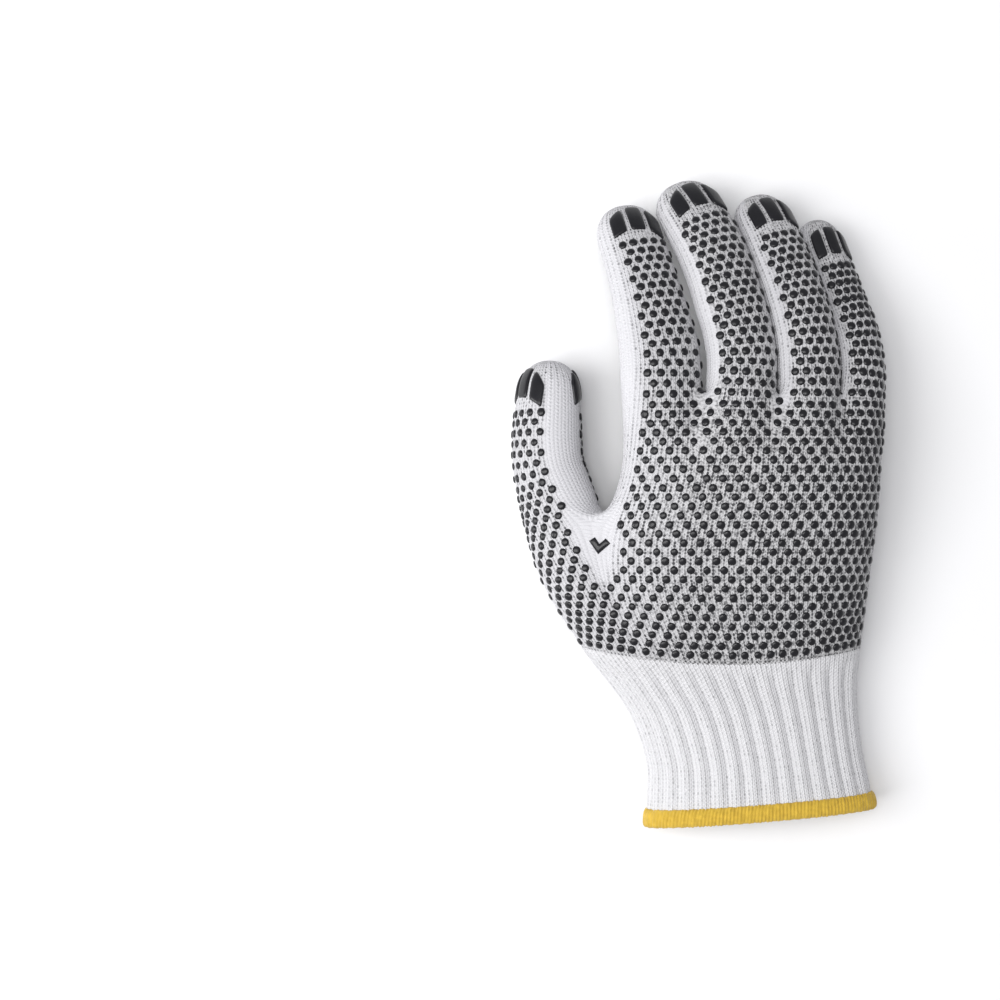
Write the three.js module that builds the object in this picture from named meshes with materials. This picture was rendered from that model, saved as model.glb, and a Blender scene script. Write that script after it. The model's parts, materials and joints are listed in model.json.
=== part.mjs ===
// Dotted knit work glove, right hand, lying palm down with the form that a hand gave it.
// Millimetres, +Z up, +Y towards the fingertips, thumb towards -X, origin under the middle of its box.
import * as THREE from "three";

// Driving sizes.
const wall = 2.0; // knitted wall
const pressGap = 0.3; // clear gap where neighbouring fingers press each other
const seamGap = 0.45; // clear gap where one knitted piece goes on in the next
const floorLevel = 0; // the underside is flattened here
const knitLift = 1.25; // the knit of the digits stays this far above the floor, on its raised prints
const acrossStrip = 5; // steps across the back, or the palm, of one digit's strip
const aroundSide = 4; // steps round a side, from the back to the palm
const handSideShare = 0.06; // share of the hand's back that belongs to each side
const cuffTop = -57; // where the printed knit ends and the rib starts
const hemTop = -111.6;
const hemEnd = -117.6;
const thumbCrotch = -8.5;
const fingerCrotch = 36.5;
const crotchRow = 4; // height of the row over a crotch that still belongs to the hand
const thumbStart = -56; // from here up the hand's rows take on the thumb's form
const thumbShare = 0.85; // how far they have taken it on at its crotch
const fingerStart = 14;
const fingerShare = 0.8;
const relaxRounds = 3;
const relaxStep = 0.4;
const ribCount = 30;
const ribSteps = 3; // steps round one rib
const ribDepth = 0.7;
const ribFadeRows = 2; // rows over which the ribs run out towards the hand
const cuffRows = 5;
const hemBulge = 0.9; // how far the overlocked edge stands proud of the cuff
const hemSteps = 60;
const hemRows = 3;
const printGap = 0.45; // the prints' clearance over the knit, whose facets are flatter than its curve
const printThickness = 0.8;
const printStart = 8.8; // from the tip back to the middle of the print's front edge
const printBow = 0.065; // how fast the front edge falls back to the sides, per square millimetre
const printEnd = 21; // from the tip back to the middle of the print's rear edge
const printEndBow = 0.03;
const printSlant = 0.12; // how fast both edges of the back's print fall back to the right
const barGap = 1.6;
const barColumns = 2;
const barRows = 4;

function table(columns, rows) {
  return rows.map((row) => Object.fromEntries(columns.map((name, i) => [name, row[i]])));
}

// Cuff and lower hand, thumb strip included. slant is how far the row turns per millimetre across.
const wristRows = table(
  ["y", "left", "right", "middle", "thick", "slant", "arch", "square"],
  [
    [-118, -19.6, 66.9, 15.4, 31.5, 0.084, 0, 2.4],
    [-108, -18.6, 64.6, 15.0, 30.5, 0.075, 0, 2.4],
    [-95, -18.8, 62.0, 14.6, 29.8, 0.05, 0, 2.4],
    [-78, -25.0, 60.2, 14.8, 30.4, 0.02, 0, 2.6],
    [-66, -33.8, 59.9, 15.8, 32.4, 0, 0.5, 2.8],
    [-56, -42.0, 61.0, 17.0, 35.0, 0, 1.0, 3.0],
    [-39, -51.3, 63.3, 19.2, 38.0, 0, 1.5, 3.2],
    [-27, -57.0, 64.2, 21.0, 38.5, 0, 2.0, 3.3],
    [-13, -62.4, 65.8, 23.5, 38.0, 0, 3.0, 3.4],
    [-3, -65.4, 66.6, 25.5, 37.0, 0, 4.0, 3.4],
  ],
);

// The four-finger body. Its first rows lead the lower hand's shape up to the thumb's crotch.
const palmRows = table(
  ["y", "left", "right", "middle", "thick", "slant", "arch", "square"],
  [
    [-45, -40.0, 62.5, 18.5, 37.0, 0, 1.5, 3.2],
    [-27, -38.0, 64.2, 21.5, 38.0, 0, 2.5, 3.2],
    [-13, -36.5, 65.8, 24.5, 37.5, 0, 3.5, 3.2],
    [-3, -34.0, 66.6, 26.5, 36.5, 0, 4.0, 3.2],
    [11, -29.2, 67.2, 28.5, 34.0, 0, 5.0, 3.2],
    [26, -28.7, 67.6, 29.5, 31.0, 0, 6.0, 3.2],
    [41, -29.1, 68.4, 29.5, 27.0, 0, 6.0, 3.2],
    [50, -29.2, 68.6, 29.0, 25.0, 0, 6.0, 3.2],
  ],
);

// One row for each section of a digit. roll turns its back towards +X, in degrees. print is how wide its
// prints are, and shift and palmShift are how far right of the middle the back's and the palm's sit.
const digitColumns = ["y", "x", "z", "width", "thick", "roll"];
const digits = [
  {
    name: "thumb",
    print: 20.5,
    shift: 0,
    palmShift: 5,
    tip: 54.0,
    share: 0.215,
    rows: table(digitColumns, [
      [-45, -44.5, 17.5, 27, 30, -8],
      [-27, -47.0, 16.5, 29, 28, -22],
      [-13, -49.6, 16.0, 30.5, 27, -36],
      [-3, -51.4, 15.6, 30.5, 26.5, -46],
      [5, -53.6, 15.4, 29, 26, -52],
      [14, -56.0, 15.2, 28, 25, -57],
      [24, -56.6, 15.0, 27.5, 24.5, -60],
      [35, -56.2, 14.2, 26, 23.5, -60],
      [45, -55.8, 13.2, 23.8, 21.4, -60],
      [54, -55.6, 12.4, 21.6, 19.4, -60],
    ]),
  },
  {
    name: "index_finger",
    print: 20,
    shift: 1.8,
    palmShift: 0,
    tip: 111.5,
    share: 0.286,
    rows: table(digitColumns, [
      [20, -14.6, 32.0, 28.5, 28, 4],
      [41, -14.8, 33.0, 30.0, 22, 8],
      [55, -15.2, 32.0, 30.4, 19.5, 11],
      [69, -17.7, 29.4, 28.2, 18.6, 13],
      [79, -19.9, 26.4, 26.4, 18.2, 13],
      [91, -22.9, 21.4, 25.2, 17.8, 12],
      [101, -25.6, 15.9, 24.6, 17.2, 11],
      [113, -28.6, 8.6, 23.6, 16.2, 10],
    ]),
  },
  {
    name: "middle_finger",
    print: 20.5,
    shift: 2.4,
    palmShift: 0,
    tip: 120.2,
    share: 0.268,
    rows: table(digitColumns, [
      [20, 13.6, 34.0, 25.5, 29, 3],
      [42, 14.6, 34.6, 26.0, 22.5, 6],
      [54, 15.0, 33.8, 26.2, 20, 8],
      [66, 13.2, 31.8, 26.2, 19, 10],
      [74, 10.9, 30.0, 26.2, 18.6, 11],
      [86, 7.6, 26.2, 26.0, 18.2, 12],
      [97, 3.7, 21.4, 25.9, 17.8, 12],
      [108, -1.5, 15.2, 25.9, 17.2, 12],
      [122, -9.0, 7.2, 25.2, 16.2, 12],
    ]),
  },
  {
    name: "ring_finger",
    print: 18.5,
    shift: 2.2,
    palmShift: 0,
    tip: 115.7,
    share: 0.242,
    rows: table(digitColumns, [
      [20, 39.0, 31.8, 24.0, 28, 6],
      [42, 39.8, 32.6, 24.0, 21.5, 8],
      [54, 39.3, 31.6, 23.9, 19.2, 10],
      [66, 37.8, 29.4, 23.7, 18.4, 12],
      [82, 33.7, 24.6, 23.2, 17.6, 14],
      [95, 29.3, 18.9, 22.8, 17.0, 14],
      [105, 25.6, 13.7, 22.4, 16.4, 14],
      [117, 20.4, 7.6, 21.6, 15.6, 13],
    ]),
  },
  {
    name: "little_finger",
    print: 15.8,
    shift: 2,
    palmShift: 0,
    tip: 107.2,
    share: 0.204,
    rows: table(digitColumns, [
      [20, 58.6, 27.4, 20.4, 24, 10],
      [42, 58.9, 26.6, 19.8, 18.6, 12],
      [51, 59.4, 25.2, 19.4, 17.0, 14],
      [63, 57.9, 22.2, 19.1, 16.2, 16],
      [76, 53.8, 18.0, 18.8, 15.6, 17],
      [88, 50.0, 13.8, 18.6, 15.2, 17],
      [97, 47.2, 10.6, 18.2, 14.8, 16],
      [108, 44.6, 7.2, 17.8, 14.2, 15],
    ]),
  },
];
const digitSquare = 2.3; // 2 is an ellipse, more is boxier
const capLength = 11; // how far from its end a digit starts to round off
const capAngles = [0.42, 0.78, 1.08, 1.32]; // its rows, as angles of a quarter turn
const capPower = 0.8;
const capScale = (angle) => Math.cos(angle) ** capPower;
const digitRowStep = 9;
const poleLift = 2; // the closing point of a tip lies this far above the lowest knit

const up = new THREE.Vector3(0, 0, 1);

function spaced(from, to, steps) {
  return Array.from({ length: steps + 1 }, (_, i) => from + ((to - from) * i) / steps);
}

// A cubic curve through one column of a table, each row's slope taken from its neighbours.
function read(rows, name, y) {
  const last = rows.length - 1;
  const slope = (j) => {
    const before = rows[Math.max(j - 1, 0)];
    const after = rows[Math.min(j + 1, last)];
    return (after[name] - before[name]) / (after.y - before.y);
  };
  if (y <= rows[0].y) return rows[0][name] + slope(0) * (y - rows[0].y);
  if (y >= rows[last].y) return rows[last][name] + slope(last) * (y - rows[last].y);
  const i = rows.findIndex((row) => row.y > y) - 1;
  const [a, b] = [rows[i], rows[i + 1]];
  const span = b.y - a.y;
  const t = (y - a.y) / span;
  return (
    (2 * t ** 3 - 3 * t ** 2 + 1) * a[name] +
    (t ** 3 - 2 * t ** 2 + t) * span * slope(i) +
    (3 * t ** 2 - 2 * t ** 3) * b[name] +
    (t ** 3 - t ** 2) * span * slope(i + 1)
  );
}

// A section is a centre, a half width across, a half thickness through, an arch and how square it is.
function bodySection(rows, y) {
  const halfWidth = (read(rows, "right", y) - read(rows, "left", y)) / 2;
  const slant = read(rows, "slant", y);
  const middleX = (read(rows, "right", y) + read(rows, "left", y)) / 2;
  return {
    centre: new THREE.Vector3(middleX, y, read(rows, "middle", y)),
    across: new THREE.Vector3(halfWidth, halfWidth * slant, 0),
    through: new THREE.Vector3(0, 0, read(rows, "thick", y) / 2),
    arch: read(rows, "arch", y),
    square: read(rows, "square", y),
  };
}

function digitCentre(digit, y) {
  return new THREE.Vector3(read(digit.rows, "x", y), y, read(digit.rows, "z", y));
}

function digitSection(digit, y, scale = 1) {
  const centre = digitCentre(digit, y);
  const ahead = digitCentre(digit, y + 1).sub(digitCentre(digit, y - 1)).normalize();
  const side = new THREE.Vector3().crossVectors(ahead, up).normalize();
  const face = new THREE.Vector3().crossVectors(side, ahead);
  const roll = THREE.MathUtils.degToRad(read(digit.rows, "roll", y));
  const halfWidth = (scale * read(digit.rows, "width", y)) / 2;
  const halfThick = (scale * read(digit.rows, "thick", y)) / 2;
  const turned = (axis, other, sine, length) =>
    axis.clone().multiplyScalar(Math.cos(roll)).addScaledVector(other, sine).multiplyScalar(length);
  return {
    centre,
    across: turned(side, face, -Math.sin(roll), halfWidth),
    through: turned(face, side, Math.sin(roll), halfThick),
    arch: 0,
    square: digitSquare,
  };
}

// The section's outline: angle 180 degrees is its left fold, 90 the top of its back, 0 its right fold.
function outlinePoint(section, angle) {
  const c = Math.cos(angle);
  const s = Math.sign(c) * Math.abs(c) ** (2 / section.square);
  const lift = section.arch * (1 - s * s);
  return section.centre
    .clone()
    .addScaledVector(section.across, s)
    .addScaledVector(section.through, Math.sin(angle))
    .addScaledVector(up, lift);
}

// Points on the outline at shares of its back from left to right, then of its palm from right to left.
const outlineSteps = 120;
function sectionRing(section, shares) {
  const half = (from, to) => {
    const angles = spaced(from, to, outlineSteps);
    const points = angles.map((angle) => outlinePoint(section, angle));
    const run = [0];
    for (let i = 1; i <= outlineSteps; i++) run.push(run[i - 1] + points[i].distanceTo(points[i - 1]));
    return (share) => {
      const want = share * run[outlineSteps];
      const i = Math.max(run.findIndex((length) => length >= want), 1);
      return points[i - 1].clone().lerp(points[i], (want - run[i - 1]) / (run[i] - run[i - 1]));
    };
  };
  const back = half(Math.PI, 0);
  const palm = half(0, -Math.PI);
  const last = shares.length - 1;
  return [
    ...shares.slice(0, last).map(back),
    ...shares.slice(1).reverse().map((share) => palm(1 - share)),
  ];
}

// Shares of the back at which a ring over these strips has its points.
function stripShares(shares, sideShare) {
  const total = shares.reduce((sum, share) => sum + share, 0);
  const sideSteps = aroundSide / 2;
  const points = Array.from({ length: sideSteps }, (_, i) => (sideShare * i) / sideSteps);
  let start = sideShare;
  for (const share of shares) {
    const width = ((1 - 2 * sideShare) * share) / total;
    for (let i = 0; i < acrossStrip; i++) points.push(start + (width * i) / acrossStrip);
    start += width;
  }
  for (let i = 0; i <= sideSteps; i++) points.push(1 - sideShare + (sideShare * i) / sideSteps);
  return points;
}

const digitSideShare = aroundSide / 2 / (acrossStrip + aroundSide);
const digitShares = stripShares([1], digitSideShare);
const fingers = digits.slice(1);
const thumb = digits[0];
const handShares = stripShares(digits.map((digit) => digit.share), handSideShare);
const bodyShares = stripShares(fingers.map((digit) => digit.share), handSideShare);

const smooth = (t) => {
  const x = Math.min(Math.max(t, 0), 1);
  return x * x * (3 - 2 * x);
};

// Neighbouring fingers press each other flat on the plane between their centre lines.
function pressApart(point, digit, gap) {
  const k = fingers.indexOf(digit);
  const { y } = point;
  for (const other of [fingers[k - 1], fingers[k + 1]]) {
    if (k < 0 || !other) continue;
    const own = digitCentre(digit, y);
    const away = digitCentre(other, y).sub(own);
    const distance = away.length();
    away.normalize();
    const ownWidth = read(digit.rows, "width", y);
    const otherWidth = read(other.rows, "width", y);
    const limit = (distance * ownWidth) / (ownWidth + otherWidth) - gap / 2;
    const reach = point.clone().sub(own).dot(away);
    if (reach > limit) point.addScaledVector(away, limit - reach);
  }
  return point;
}

function digitRing(digit, y, scale, gap) {
  return sectionRing(digitSection(digit, y, scale), digitShares).map((point) => {
    pressApart(point, digit, gap);
    point.z = Math.max(point.z, knitLift);
    return point;
  });
}

// The knitted skin: points with their faces, each face marked with the piece that it belongs to.
const skin = { points: [], faces: [] };
const seamPairs = []; // points that face each other across a seam

function addRing(points) {
  return points.map((point) => skin.points.push(point) - 1);
}

function joinRings(piece, lower, upper) {
  lower.forEach((id, i) => {
    const next = (i + 1) % lower.length;
    skin.faces.push({ piece, ids: [id, upper[next], upper[i]] });
    skin.faces.push({ piece, ids: [id, lower[next], upper[next]] });
  });
}

// A ring's side, from its last point on the back to its first on the palm.
const half = aroundSide / 2;
function leftSide(ring) {
  return Array.from({ length: aroundSide + 1 }, (_, i) => ring[(half - i + ring.length) % ring.length]);
}
function rightSide(ring) {
  const middle = ring.length / 2;
  return Array.from({ length: aroundSide + 1 }, (_, i) => ring[middle - half + i]);
}

// The part of a ring that covers some strips, closed by a chain on either side.
function ringPart(ring, firstStrip, stripCount, leftChain, rightChain) {
  const back = half + firstStrip * acrossStrip;
  const steps = stripCount * acrossStrip;
  const inner = (list) => list.slice(1, -1);
  const top = Array.from({ length: steps + 1 }, (_, i) => ring[back + i]);
  const bottom = Array.from({ length: steps + 1 }, (_, i) => ring[ring.length - back - steps + i]);
  const left = inner(leftChain).reverse();
  return [...left.slice(half - 1), ...top, ...inner(rightChain), ...bottom, ...left.slice(0, half - 1)];
}

// A chain of new points across a crotch, between the two rings that part there.
function crotchChain(top, bottom, leftPoints, rightPoints) {
  const middle = leftPoints.slice(1, -1).map((point, i) => point.clone().lerp(rightPoints[i + 1], 0.5));
  return [top, ...addRing(middle), bottom];
}

// How much of a digit's own form a row of the hand has already taken on.
function digitWeight(y, start, crotch, atCrotch) {
  return atCrotch * smooth((y - start) / (crotch - start));
}

// Lower hand, from the cuff to the thumb's crotch.
const handLevels = [cuffTop + seamGap, -48, -38, -28, -18, thumbCrotch];
let below = null;
let wristRing = null;
let thumbParting = null;
for (const y of handLevels) {
  const whole = sectionRing(bodySection(wristRows, y), handShares);
  const body = sectionRing(bodySection(palmRows, y), bodyShares);
  const alone = digitRing(thumb, y, 1, 0);
  const weight = digitWeight(y, thumbStart, thumbCrotch, thumbShare);
  const count = whole.length;
  const parting = half + acrossStrip;
  const points = whole.map((point, i) => {
    const mirrored = Math.min(i, count - i);
    const own = alone[i <= count / 2 ? i : (i - count + alone.length) % alone.length];
    const rest = body[i - acrossStrip];
    if (mirrored < parting) return point.lerp(own, weight);
    if (mirrored > parting) return point.lerp(rest, weight);
    return point.lerp(own.clone().lerp(rest, 0.5), weight);
  });
  const ring = addRing(points);
  if (below) joinRings("hand", below, ring);
  else wristRing = ring;
  below = ring;
  if (y === thumbCrotch) {
    thumbParting = crotchChain(ring[parting], ring[count - parting], rightSide(alone), leftSide(body));
  }
}

// Upper hand, from the thumb's crotch to the crotches of the fingers.
const thumbRoot = ringPart(below, 0, 1, leftSide(below), thumbParting);
const bodyRoot = ringPart(below, 1, 4, thumbParting, rightSide(below));
below = bodyRoot;
const bodyLevels = [-2, 8, 17, 25, 31.5, fingerCrotch];
const partings = [];
for (const y of bodyLevels) {
  const whole = sectionRing(bodySection(palmRows, y), bodyShares);
  const weight = digitWeight(y, fingerStart, fingerCrotch, fingerShare);
  const alone = fingers.map((digit) => digitRing(digit, y, 1, 0));
  const count = whole.length;
  const size = alone[0].length;
  const points = whole.map((point, i) => {
    const onBack = i <= count / 2;
    const step = (onBack ? i : count - i) - half;
    const within = Math.min(Math.max(step, 0), fingers.length * acrossStrip);
    const owners = [Math.ceil(within / acrossStrip) - 1, Math.floor(within / acrossStrip)].map((k) =>
      Math.min(Math.max(k, 0), fingers.length - 1),
    );
    const target = new THREE.Vector3();
    for (const k of owners) {
      const own = step - k * acrossStrip + half;
      target.addScaledVector(alone[k][onBack ? own : (size - own) % size], 1 / owners.length);
    }
    return point.lerp(target, weight);
  });
  const ring = addRing(points);
  joinRings("hand", below, ring);
  below = ring;
  if (y === fingerCrotch) {
    for (let k = 1; k < fingers.length; k++) {
      const parting = half + k * acrossStrip;
      const sides = [rightSide(alone[k - 1]), leftSide(alone[k])];
      partings.push(crotchChain(ring[parting], ring[count - parting], ...sides));
    }
  }
}
const chains = [leftSide(below), ...partings, rightSide(below)];
const fingerRoots = fingers.map((_, k) => ringPart(below, k, 1, chains[k], chains[k + 1]));

// A digit: a first ring that belongs to the hand, then rings up to where it rounds off, then its closed tip.
function addDigit(digit, root, crotch) {
  const rootEnd = crotch + crotchRow;
  const capStart = digit.tip - capLength;
  const bodySteps = Math.round((capStart - rootEnd) / digitRowStep);
  const levels = [{ y: rootEnd - seamGap, scale: 1, piece: "hand" }];
  spaced(rootEnd, capStart, bodySteps).forEach((y, i) => {
    levels.push({ y, scale: 1, piece: i === 0 ? "gap" : digit.name });
  });
  for (const angle of capAngles) {
    levels.push({ y: capStart + capLength * Math.sin(angle), scale: capScale(angle), piece: digit.name });
  }
  let lower = root;
  for (const { y, scale, piece } of levels) {
    const ring = addRing(digitRing(digit, y, scale, pressGap));
    joinRings(piece, lower, ring);
    if (piece === "gap") lower.forEach((id, i) => seamPairs.push([id, ring[i]]));
    lower = ring;
  }
  const pole = digitCentre(digit, digit.tip);
  pole.z = Math.max(pole.z, knitLift + poleLift);
  const [poleId] = addRing([pole]);
  lower.forEach((id, i) => {
    skin.faces.push({ piece: digit.name, ids: [id, lower[(i + 1) % lower.length], poleId] });
  });
}
addDigit(thumb, thumbRoot, thumbCrotch);
fingers.forEach((digit, k) => addDigit(digit, fingerRoots[k], fingerCrotch));

// Every hand point moves a little towards the middle of its neighbours, which rounds the crotches.
function relaxHand(rounds) {
  const near = new Map();
  for (const { piece, ids } of skin.faces) {
    if (piece !== "hand") continue;
    ids.forEach((id, i) => {
      if (!near.has(id)) near.set(id, new Set());
      near.get(id).add(ids[(i + 1) % 3]).add(ids[(i + 2) % 3]);
    });
  }
  const fixed = new Set(wristRing);
  for (const { piece, ids } of skin.faces) if (piece === "gap") ids.forEach((id) => fixed.add(id));
  for (let round = 0; round < rounds; round++) {
    const moved = [...near].map(([id, others]) => {
      const mean = new THREE.Vector3();
      for (const other of others) mean.addScaledVector(skin.points[other], 1 / others.size);
      return [id, mean];
    });
    for (const [id, mean] of moved) if (!fixed.has(id)) skin.points[id].lerp(mean, relaxStep);
  }
}
relaxHand(relaxRounds);
for (const point of skin.points) point.z = Math.max(point.z, floorLevel);

// The inward direction at each point is the mean of its faces' normals.
function pointNormals(points, faces) {
  const normals = points.map(() => new THREE.Vector3());
  const triangle = new THREE.Triangle();
  const normal = new THREE.Vector3();
  for (const { ids } of faces) {
    triangle.set(points[ids[0]], points[ids[1]], points[ids[2]]);
    triangle.getNormal(normal).multiplyScalar(triangle.getArea());
    ids.forEach((id) => normals[id].add(normal));
  }
  return normals.map((sum) => sum.normalize());
}

function geometryOf(positions) {
  const attribute = new THREE.Float32BufferAttribute(positions, 3);
  return new THREE.BufferGeometry().setAttribute("position", attribute);
}

// A closed wall: the faces, the same faces moved inwards, and a strip along every open edge.
function wallGeometry(points, normals, faces, thickness) {
  const positions = [];
  const put = (...corners) => corners.forEach((corner) => positions.push(corner.x, corner.y, corner.z));
  const inner = (id) => points[id].clone().addScaledVector(normals[id], -thickness);
  const edges = new Set(faces.flatMap(({ ids }) => ids.map((id, i) => `${id},${ids[(i + 1) % 3]}`)));
  for (const { ids } of faces) {
    const [a, b, c] = ids;
    put(points[a], points[b], points[c]);
    put(inner(a), inner(c), inner(b));
    ids.forEach((id, i) => {
      const next = ids[(i + 1) % 3];
      if (edges.has(`${next},${id}`)) return;
      put(points[next], points[id], inner(id));
      put(points[next], inner(id), inner(next));
    });
  }
  return geometryOf(positions);
}

const knit = new THREE.MeshStandardMaterial({ color: 0xe9e8ee, roughness: 0.95, metalness: 0 });
const rib = new THREE.MeshStandardMaterial({ color: 0xe4e3ea, roughness: 0.95, metalness: 0 });
const thread = new THREE.MeshStandardMaterial({ color: 0xe2b93f, roughness: 0.7, metalness: 0 });
const print = new THREE.MeshStandardMaterial({ color: 0x26262c, roughness: 0.4, metalness: 0 });

const glove = new THREE.Group();
function addMesh(name, geometry, material) {
  const mesh = new THREE.Mesh(geometry, material);
  mesh.name = name;
  glove.add(mesh);
}

const skinNormals = pointNormals(skin.points, skin.faces);
for (const [a, b] of seamPairs) {
  skinNormals[a].add(skinNormals[b]).normalize();
  skinNormals[b].copy(skinNormals[a]);
}
for (const name of ["hand", ...digits.map((digit) => digit.name)]) {
  const faces = skin.faces.filter(({ piece }) => piece === name);
  addMesh(name, wallGeometry(skin.points, skinNormals, faces, wall), knit);
}

// An open tube through rows of the wrist table, with a swell at each point given by the callback.
function wristTube(levels, steps, swell) {
  const tube = { points: [], faces: [] };
  const shares = spaced(0, 1, steps / 2);
  levels.forEach((y, row) => {
    const section = bodySection(wristRows, y);
    sectionRing(section, shares).forEach((point, i) => {
      const outward = point.clone().sub(section.centre).normalize();
      point.addScaledVector(outward, swell(i, row));
      point.z = Math.max(point.z, floorLevel);
      tube.points.push(point);
    });
  });
  for (let row = 0; row + 1 < levels.length; row++) {
    for (let i = 0; i < steps; i++) {
      const next = (i + 1) % steps;
      const [a, b] = [row * steps + i, row * steps + next];
      const [c, d] = [a + steps, b + steps];
      tube.faces.push({ ids: [a, d, c] }, { ids: [a, b, d] });
    }
  }
  return tube;
}

function tubeGeometry({ points, faces }, thickness) {
  return wallGeometry(points, pointNormals(points, faces), faces, thickness);
}

const cuffTube = wristTube(spaced(hemTop + seamGap, cuffTop, cuffRows), ribCount * ribSteps, (i, row) => {
  const fade = smooth((cuffRows - row) / ribFadeRows);
  return (fade * ribDepth * Math.cos((2 * Math.PI * i) / ribSteps)) / 2;
});
addMesh("cuff", tubeGeometry(cuffTube, wall), rib);

const hemTube = wristTube(spaced(hemEnd, hemTop, hemRows), hemSteps, (i, row) =>
  hemBulge * Math.sqrt(Math.sin((Math.PI * row) / hemRows)),
);
addMesh("hem", tubeGeometry(hemTube, wall + hemBulge), thread);

// Printed bars at the fingertips, each a thin plate that follows the tip.
const profileSteps = 60;
const profileReach = 20; // how far the profile goes on behind the rounded end
const smallestScale = 0.01; // a section shrinks to this at the tip itself
function tipProfile(digit, side) {
  const capStart = digit.tip - capLength;
  const levels = spaced(Math.PI / 2, 0, profileSteps).map((angle) => ({
    y: capStart + capLength * Math.sin(angle),
    scale: Math.max(capScale(angle), smallestScale),
  }));
  for (let i = 1; i <= profileReach; i++) levels.push({ y: capStart - i, scale: 1 });
  let run = 0;
  let before = null;
  return levels.map(({ y, scale }) => {
    const point = outlinePoint(digitSection(digit, y, scale), (side * Math.PI) / 2);
    if (before) run += point.distanceTo(before);
    before = point;
    return { y, scale, run };
  });
}

// The point that lies `along` behind the tip and `around` to the right of the middle, on either side.
const quarterSteps = 40;
function tipPoint(digit, profile, side, around, along) {
  const i = Math.max(profile.findIndex(({ run }) => run >= along), 1);
  const [a, b] = [profile[i - 1], profile[i]];
  const t = (along - a.run) / (b.run - a.run);
  const section = digitSection(digit, a.y + (b.y - a.y) * t, a.scale + (b.scale - a.scale) * t);
  const turn = (-side * Math.sign(around) * Math.PI) / 2 / quarterSteps;
  let angle = (side * Math.PI) / 2;
  let left = Math.abs(around);
  let point = outlinePoint(section, angle);
  while (left > 0) {
    const next = outlinePoint(section, angle + turn);
    const length = next.distanceTo(point);
    point = point.lerp(next, Math.min(left / length, 1));
    angle += turn;
    left -= length;
  }
  pressApart(point, digit, pressGap);
  point.z = Math.max(point.z, knitLift);
  return point;
}

// How far the print's front and rear edges lie behind the tip.
function printEdges(side, around) {
  const fall = side > 0 ? printSlant * around : 0;
  return [printStart + printBow * around * around + fall, printEnd + printEndBow * around * around + fall];
}

function printedBar(digit, side, from, to) {
  const profile = tipProfile(digit, side);
  const shift = side > 0 ? digit.shift : digit.palmShift;
  const at = (around, along) => tipPoint(digit, profile, side, around + shift, along);
  const reach = 0.4; // half the step over which the surface's direction is taken
  const base = [];
  const outer = [];
  for (let j = 0; j <= barRows; j++) {
    for (let i = 0; i <= barColumns; i++) {
      const around = from + ((to - from) * i) / barColumns;
      const [front, rear] = printEdges(side, around);
      const along = front + ((rear - front) * j) / barRows;
      const point = at(around, along);
      const across = at(around + reach, along).sub(at(around - reach, along));
      const back = at(around, along + reach).sub(at(around, along - reach));
      const normal = across.cross(back).multiplyScalar(-side).normalize();
      base.push(point.clone().addScaledVector(normal, printGap));
      outer.push(point.clone().addScaledVector(normal, printGap + printThickness));
    }
  }
  const positions = [];
  const put = (...corners) => corners.forEach((corner) => positions.push(corner.x, corner.y, corner.z));
  // The palm's grid runs the other way round, so its faces turn with it.
  const quad = (a, b, c, d) => {
    const [p, q, r, s] = side > 0 ? [a, d, c, b] : [a, b, c, d];
    put(p, q, r);
    put(p, r, s);
  };
  const place = (i, j) => j * (barColumns + 1) + i;
  for (let j = 0; j < barRows; j++) {
    for (let i = 0; i < barColumns; i++) {
      const corners = [place(i, j), place(i + 1, j), place(i + 1, j + 1), place(i, j + 1)];
      quad(...corners.map((id) => outer[id]));
      quad(...corners.reverse().map((id) => base[id]));
    }
  }
  const rim = [];
  for (let i = 0; i < barColumns; i++) rim.push(place(i, 0));
  for (let j = 0; j < barRows; j++) rim.push(place(barColumns, j));
  for (let i = barColumns; i > 0; i--) rim.push(place(i, barRows));
  for (let j = barRows; j > 0; j--) rim.push(place(0, j));
  rim.forEach((id, k) => {
    const next = rim[(k + 1) % rim.length];
    quad(base[id], base[next], outer[next], outer[id]);
  });
  return geometryOf(positions);
}

for (const digit of digits) {
  const barWidth = (digit.print - 2 * barGap) / 3;
  for (const [sideName, side] of [["back", 1], ["palm", -1]]) {
    for (let k = 0; k < 3; k++) {
      const from = -digit.print / 2 + k * (barWidth + barGap);
      const name = `bar_${digit.name}_${sideName}_${k + 1}`;
      addMesh(name, printedBar(digit, side, from, from + barWidth), print);
    }
  }
}

// The origin goes under the middle of the whole glove's box.
const box = new THREE.Box3().setFromObject(glove);
const middle = box.getCenter(new THREE.Vector3());
glove.position.set(-middle.x, -middle.y, -box.min.z);

export default glove;
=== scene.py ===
"""A dotted knit work glove, right hand, lying palm down with the form that a hand gave it.

Shapes are worked out in millimetres and put into the meshes in metres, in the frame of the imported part.
"""

import json
import logging
import math
from dataclasses import dataclass, field
from enum import Enum

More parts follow.
